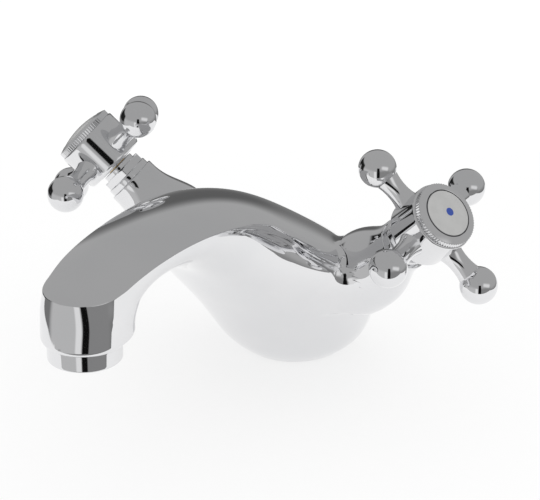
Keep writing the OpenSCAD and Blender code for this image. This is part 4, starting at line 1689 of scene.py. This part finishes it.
@dataclass
class InnerPieces:
    """Pieces inside and under the tap that keep their CAD shape and get a finish.

    Attributes:
        valves: the valve axes.
        shared: finish and slot of the pieces that the tap has once.
        sided: finish and slot of the pieces that each valve has.
        machined: the same for its pieces that show the marks of a lathe.
    """

    valves: ValveAxis
    shared: dict[str, tuple[Finish, Slot]] = field(default_factory=lambda: {
        "base_seal": (RUBBER, Slot.RUBBER),
        "aerator_cartridge": (PLASTIC, Slot.PLASTIC),
        "aerator_washer": (RUBBER, Slot.RUBBER),
    })
    sided: dict[str, tuple[Finish, Slot]] = field(default_factory=lambda: {
        "body_seal": (RUBBER, Slot.RUBBER),
        "seat_seal": (RUBBER, Slot.RUBBER),
        "fixed_disc": (ALUMINA, Slot.DISC),
        "turning_disc": (ALUMINA, Slot.DISC),
        "spindle_oring": (RUBBER, Slot.RUBBER),
        "spindle_clip": (STEEL, Slot.STEEL),
    })
    machined: dict[str, tuple[Finish, Slot]] = field(default_factory=lambda: {
        "spindle": (BRASS, Slot.BRASS),
        "handle_screw": (STEEL, Slot.STEEL),
    })

    def turned(self, side: Side, metal: Finish) -> Finish:
        """The same metal with its turning marks round one side's valve axis."""
        along = tuple(float(v) for v in self.valves.of(side).along)
        return replace(metal, name=side.node(metal.name), lathe=along)

    def make(self, nodes: dict[str, bpy.types.Object]) -> None:
        """Dresses the nodes.

        Args:
            nodes: the CAD nodes by name.
        """
        looks = [(name, finish, slot) for name, (finish, slot) in self.shared.items()]
        for side in Side:
            for piece, (finish, slot) in self.sided.items():
                looks.append((side.node(piece), finish, slot))
            for piece, (metal, slot) in self.machined.items():
                looks.append((side.node(piece), self.turned(side, metal), slot))
        for name, finish, slot in looks:
            dress(nodes[name], finish)
            LOG.info("%s: CAD shape in %s", name, finish.name)


@dataclass(frozen=True)
class Softbox:
    """A soft-edged area of the studio that polished metal shows.

    Attributes:
        azimuth: degrees to the right of the camera's direction, seen from the tap.
        elevation: degrees above the level.
        half_width: half its width in degrees.
        half_height: half its height in degrees.
        tilt: degrees by which it is turned anticlockwise, seen from the tap.
        edge: width of its soft edge in degrees.
        level: how bright it is.
    """

    azimuth: float
    elevation: float
    half_width: float
    half_height: float
    tilt: float
    edge: float
    level: float


@dataclass
class Studio:
    """Camera, surroundings and floor.

    Attributes:
        azimuth: where the camera stands, in degrees round the tap.
        place: where the camera stands, in metres.
        aim: direction in which it looks.
        lens: focal length in millimetres.
        sensor: width of the sensor in millimetres.
        clip: nearest and farthest distance that the camera sees, in metres.
        grey: level of the room that polished metal shows.
        behind: level of the room behind the tap.
        behind_from: cosines, from the way the camera looks, between which that level sets in.
        boxes: what stands in that room, from the back to the front.
        grazing: least cosine at which a ray meets a box's plane.
        least: least half size of a box inside its soft edge, in degrees.
        ambient: level of the light all round.
        floor_front: how far the floor reaches towards the camera, in metres.
        floor_side: how far it reaches to either side.
        floor_back: how far it reaches behind the tap.
        floor_glow: share of the floor's white that no shadow takes away.
        below: level of what lies beyond the floor's edges.
        below_from: heights of a ray between which that level gives way.
        fibre: scale of the paper's clouds, in waves per metre, and their finer layers.
        whites: levels that the paper's white lies between.
    """

    azimuth: float = 30.317
    place: tuple[float, float, float] = (0.42310, -0.74235, 0.42687)
    aim: tuple[float, float, float] = (-0.45964, 0.78601, -0.41342)
    lens: float = 160.74
    sensor: float = 36.0
    clip: tuple[float, float] = (0.01, 20.0)
    grey: float = 0.42
    behind: float = 0.12
    behind_from: tuple[float, float] = (0.93, 0.99)
    boxes: tuple[Softbox, ...] = (
        Softbox(-116.0, 3.0, 26.0, 15.0, 0.0, 8.0, 0.015),
        Softbox(34.0, -20.0, 34.0, 24.0, 0.0, 16.0, 0.26),
        Softbox(-50.0, -18.0, 40.0, 24.0, 0.0, 16.0, 0.55),
        Softbox(-15.0, -18.0, 7.0, 20.0, 0.0, 5.0, 0.85),
        Softbox(46.0, 16.0, 20.0, 9.0, -24.0, 13.0, 0.8),
        Softbox(3.0, -9.0, 8.0, 32.0, 0.0, 3.0, 0.005),
    )
    grazing: float = 0.01
    least: float = 0.1
    ambient: float = 1.04
    floor_front: float = 0.17
    floor_side: float = 0.26
    floor_back: float = 0.2
    floor_glow: float = 0.74
    below: float = 0.2
    below_from: tuple[float, float] = (-0.35, 0.0)
    fibre: tuple[float, float] = (90.0, 3.0)
    whites: tuple[float, float] = (0.96, 0.99)

    def direction(self, azimuth: float, elevation: float) -> Array:
        """Unit direction from the tap.

        Args:
            azimuth: degrees to the right of the camera's.
            elevation: degrees above the level.

        Returns:
            The direction.
        """
        turn = np.radians(self.azimuth + azimuth)
        rise = np.radians(elevation)
        front = np.array([np.sin(turn), -np.cos(turn), 0.0])
        return front * np.cos(rise) + UP * np.sin(rise)

    def box_share(self, graph: Graph, ray: bpy.types.NodeSocket, box: Softbox) -> bpy.types.NodeSocket:
        """How much of a softbox a ray meets, by its place on the box's own plane.

        Args:
            graph: the world's graph.
            ray: direction of the ray.
            box: the softbox.

        Returns:
            0 outside to 1 inside.
        """
        centre = self.direction(box.azimuth, box.elevation)
        right = np.cross(centre, UP)
        right = -right / np.linalg.norm(right)
        up = np.cross(centre, right)
        up = up if up[2] > 0 else -up
        turn = np.radians(box.tilt)
        wide = right * np.cos(turn) + up * np.sin(turn)
        high = up * np.cos(turn) - right * np.sin(turn)
        depth = graph.dot(ray, centre)
        safe = graph.math("MAXIMUM", depth, self.grazing)
        share = graph.math("GREATER_THAN", depth, self.grazing)
        for side, half in ((wide, box.half_width), (high, box.half_height)):
            away = graph.math("ABSOLUTE", graph.math("DIVIDE", graph.dot(ray, side), safe))
            near = float(np.tan(np.radians(max(half - box.edge / 2, self.least))))
            far = float(np.tan(np.radians(half + box.edge / 2)))
            share = graph.math("MULTIPLY", share, graph.ramp(away, near, far, 1.0, 0.0))
        return share

    def world(self) -> None:
        """Surroundings: white to the camera, even light for the rest, the studio for metal."""
        world = bpy.data.worlds.new("studio")
        bpy.context.scene.world = world
        world.use_nodes = True
        graph = Graph(world.node_tree)
        ray = graph.add("ShaderNodeTexCoord").outputs["Generated"]
        back = graph.dot(ray, -self.direction(0.0, 0.0))
        away = graph.ramp(back, *self.behind_from, self.grey, self.behind)
        level = graph.ramp(graph.dot(ray, UP), *self.below_from, self.below, away)
        for box in self.boxes:
            share = self.box_share(graph, ray, box)
            other = graph.math("SUBTRACT", 1.0, share)
            kept = graph.math("MULTIPLY", level, other)
            level = graph.math("MULTIPLY_ADD", share, box.level, kept)
        path = graph.add("ShaderNodeLightPath")
        camera, through = path.outputs["Is Camera Ray"], path.outputs["Is Transmission Ray"]
        straight = graph.math("MAXIMUM", camera, through)
        glossy = path.outputs["Is Glossy Ray"]
        plain = graph.math("MAXIMUM", straight, self.ambient)
        seen = graph.math("MULTIPLY", level, glossy)
        rest = graph.math("MULTIPLY", plain, graph.math("SUBTRACT", 1.0, glossy))
        background = graph.add("ShaderNodeBackground")
        graph.feed(background.inputs["Color"], opaque((1.0, 1.0, 1.0)))
        graph.feed(background.inputs["Strength"], graph.math("ADD", seen, rest))
        output = graph.add("ShaderNodeOutputWorld")
        graph.feed(output.inputs["Surface"], background.outputs[0])

    def floor(self) -> None:
        """A pale sheet that ends a little before the tap, as a photographer's table does."""
        front = self.direction(0.0, 0.0)
        right = self.direction(90.0, 0.0)
        across = np.array([-1.0, 1.0, 1.0, -1.0]) * self.floor_side
        depth = self.floor_front + self.floor_back
        ahead = np.array([1.0, 1.0, 0.0, 0.0]) * depth - self.floor_back
        corners = ahead[:, None] * front + across[:, None] * right
        mesh = bpy.data.meshes.new("floor")
        mesh.from_pydata(corners.tolist(), [], [(3, 2, 1, 0)])
        obj = bpy.data.objects.new("floor", mesh)
        bpy.context.scene.collection.objects.link(obj)
        mesh.materials.append(self.paper())

    def paper(self) -> bpy.types.Material:
        """White paper: a diffuse sheet that glows a little to the camera and in polished metal.

        Returns:
            The material.
        """
        material = bpy.data.materials.new("white_paper")
        material.use_nodes = True
        graph = Graph(material.node_tree)
        place = graph.add("ShaderNodeTexCoord").outputs["Object"]
        diffuse = graph.add("ShaderNodeBsdfDiffuse")
        fibre = graph.noise(place, *self.fibre)
        dull, bright = (opaque((level, level, level)) for level in self.whites)
        white = graph.blend(fibre, dull, bright)
        graph.feed(diffuse.inputs["Color"], white)
        glow = graph.add("ShaderNodeEmission")
        graph.feed(glow.inputs["Strength"], 1.0)
        path = graph.add("ShaderNodeLightPath")
        seen = graph.math("MAXIMUM", path.outputs["Is Camera Ray"], path.outputs["Is Glossy Ray"])
        seen = graph.math("MAXIMUM", seen, path.outputs["Is Transmission Ray"])
        mixed = graph.add("ShaderNodeMixShader")
        graph.feed(mixed.inputs[0], graph.math("MULTIPLY", seen, self.floor_glow))
        graph.feed(mixed.inputs[1], diffuse.outputs[0])
        graph.feed(mixed.inputs[2], glow.outputs[0])
        output = graph.add("ShaderNodeOutputMaterial")
        graph.feed(output.inputs["Surface"], mixed.outputs[0])
        return material

    def camera(self) -> None:
        """The camera at the photograph's place."""
        data = bpy.data.cameras.new("camera")
        data.sensor_width = self.sensor
        data.sensor_fit = "HORIZONTAL"
        data.lens = self.lens
        data.clip_start, data.clip_end = self.clip
        obj = bpy.data.objects.new("camera", data)
        obj.location = self.place
        obj.rotation_euler = Vector(self.aim).to_track_quat("-Z", "Y").to_euler()
        bpy.context.scene.collection.objects.link(obj)
        bpy.context.scene.camera = obj

    def make(self) -> None:
        """Sets up the studio."""
        bpy.context.scene.view_settings.view_transform = "Standard"
        self.world()
        self.floor()
        self.camera()


def main() -> None:
    """Builds the tap piece by piece and sets up the studio round it."""
    logging.basicConfig(level=logging.INFO, format="%(name)s %(message)s")
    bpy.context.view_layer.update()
    valves = ValveAxis()
    arm = Arm(valves)
    nozzle = Nozzle()
    TapBody(arm, nozzle).make()
    Aerator(nozzle).make()
    gland = ValveGland(arm)
    handle = CrossHandle(valves)
    cap = IndexCap(handle)
    for side in Side:
        gland.make(side)
        handle.make(side)
        cap.make(side)
    InnerPieces(valves).make(frame["nodes"])
    Studio().make()


if __name__ == "__main__":
    main()
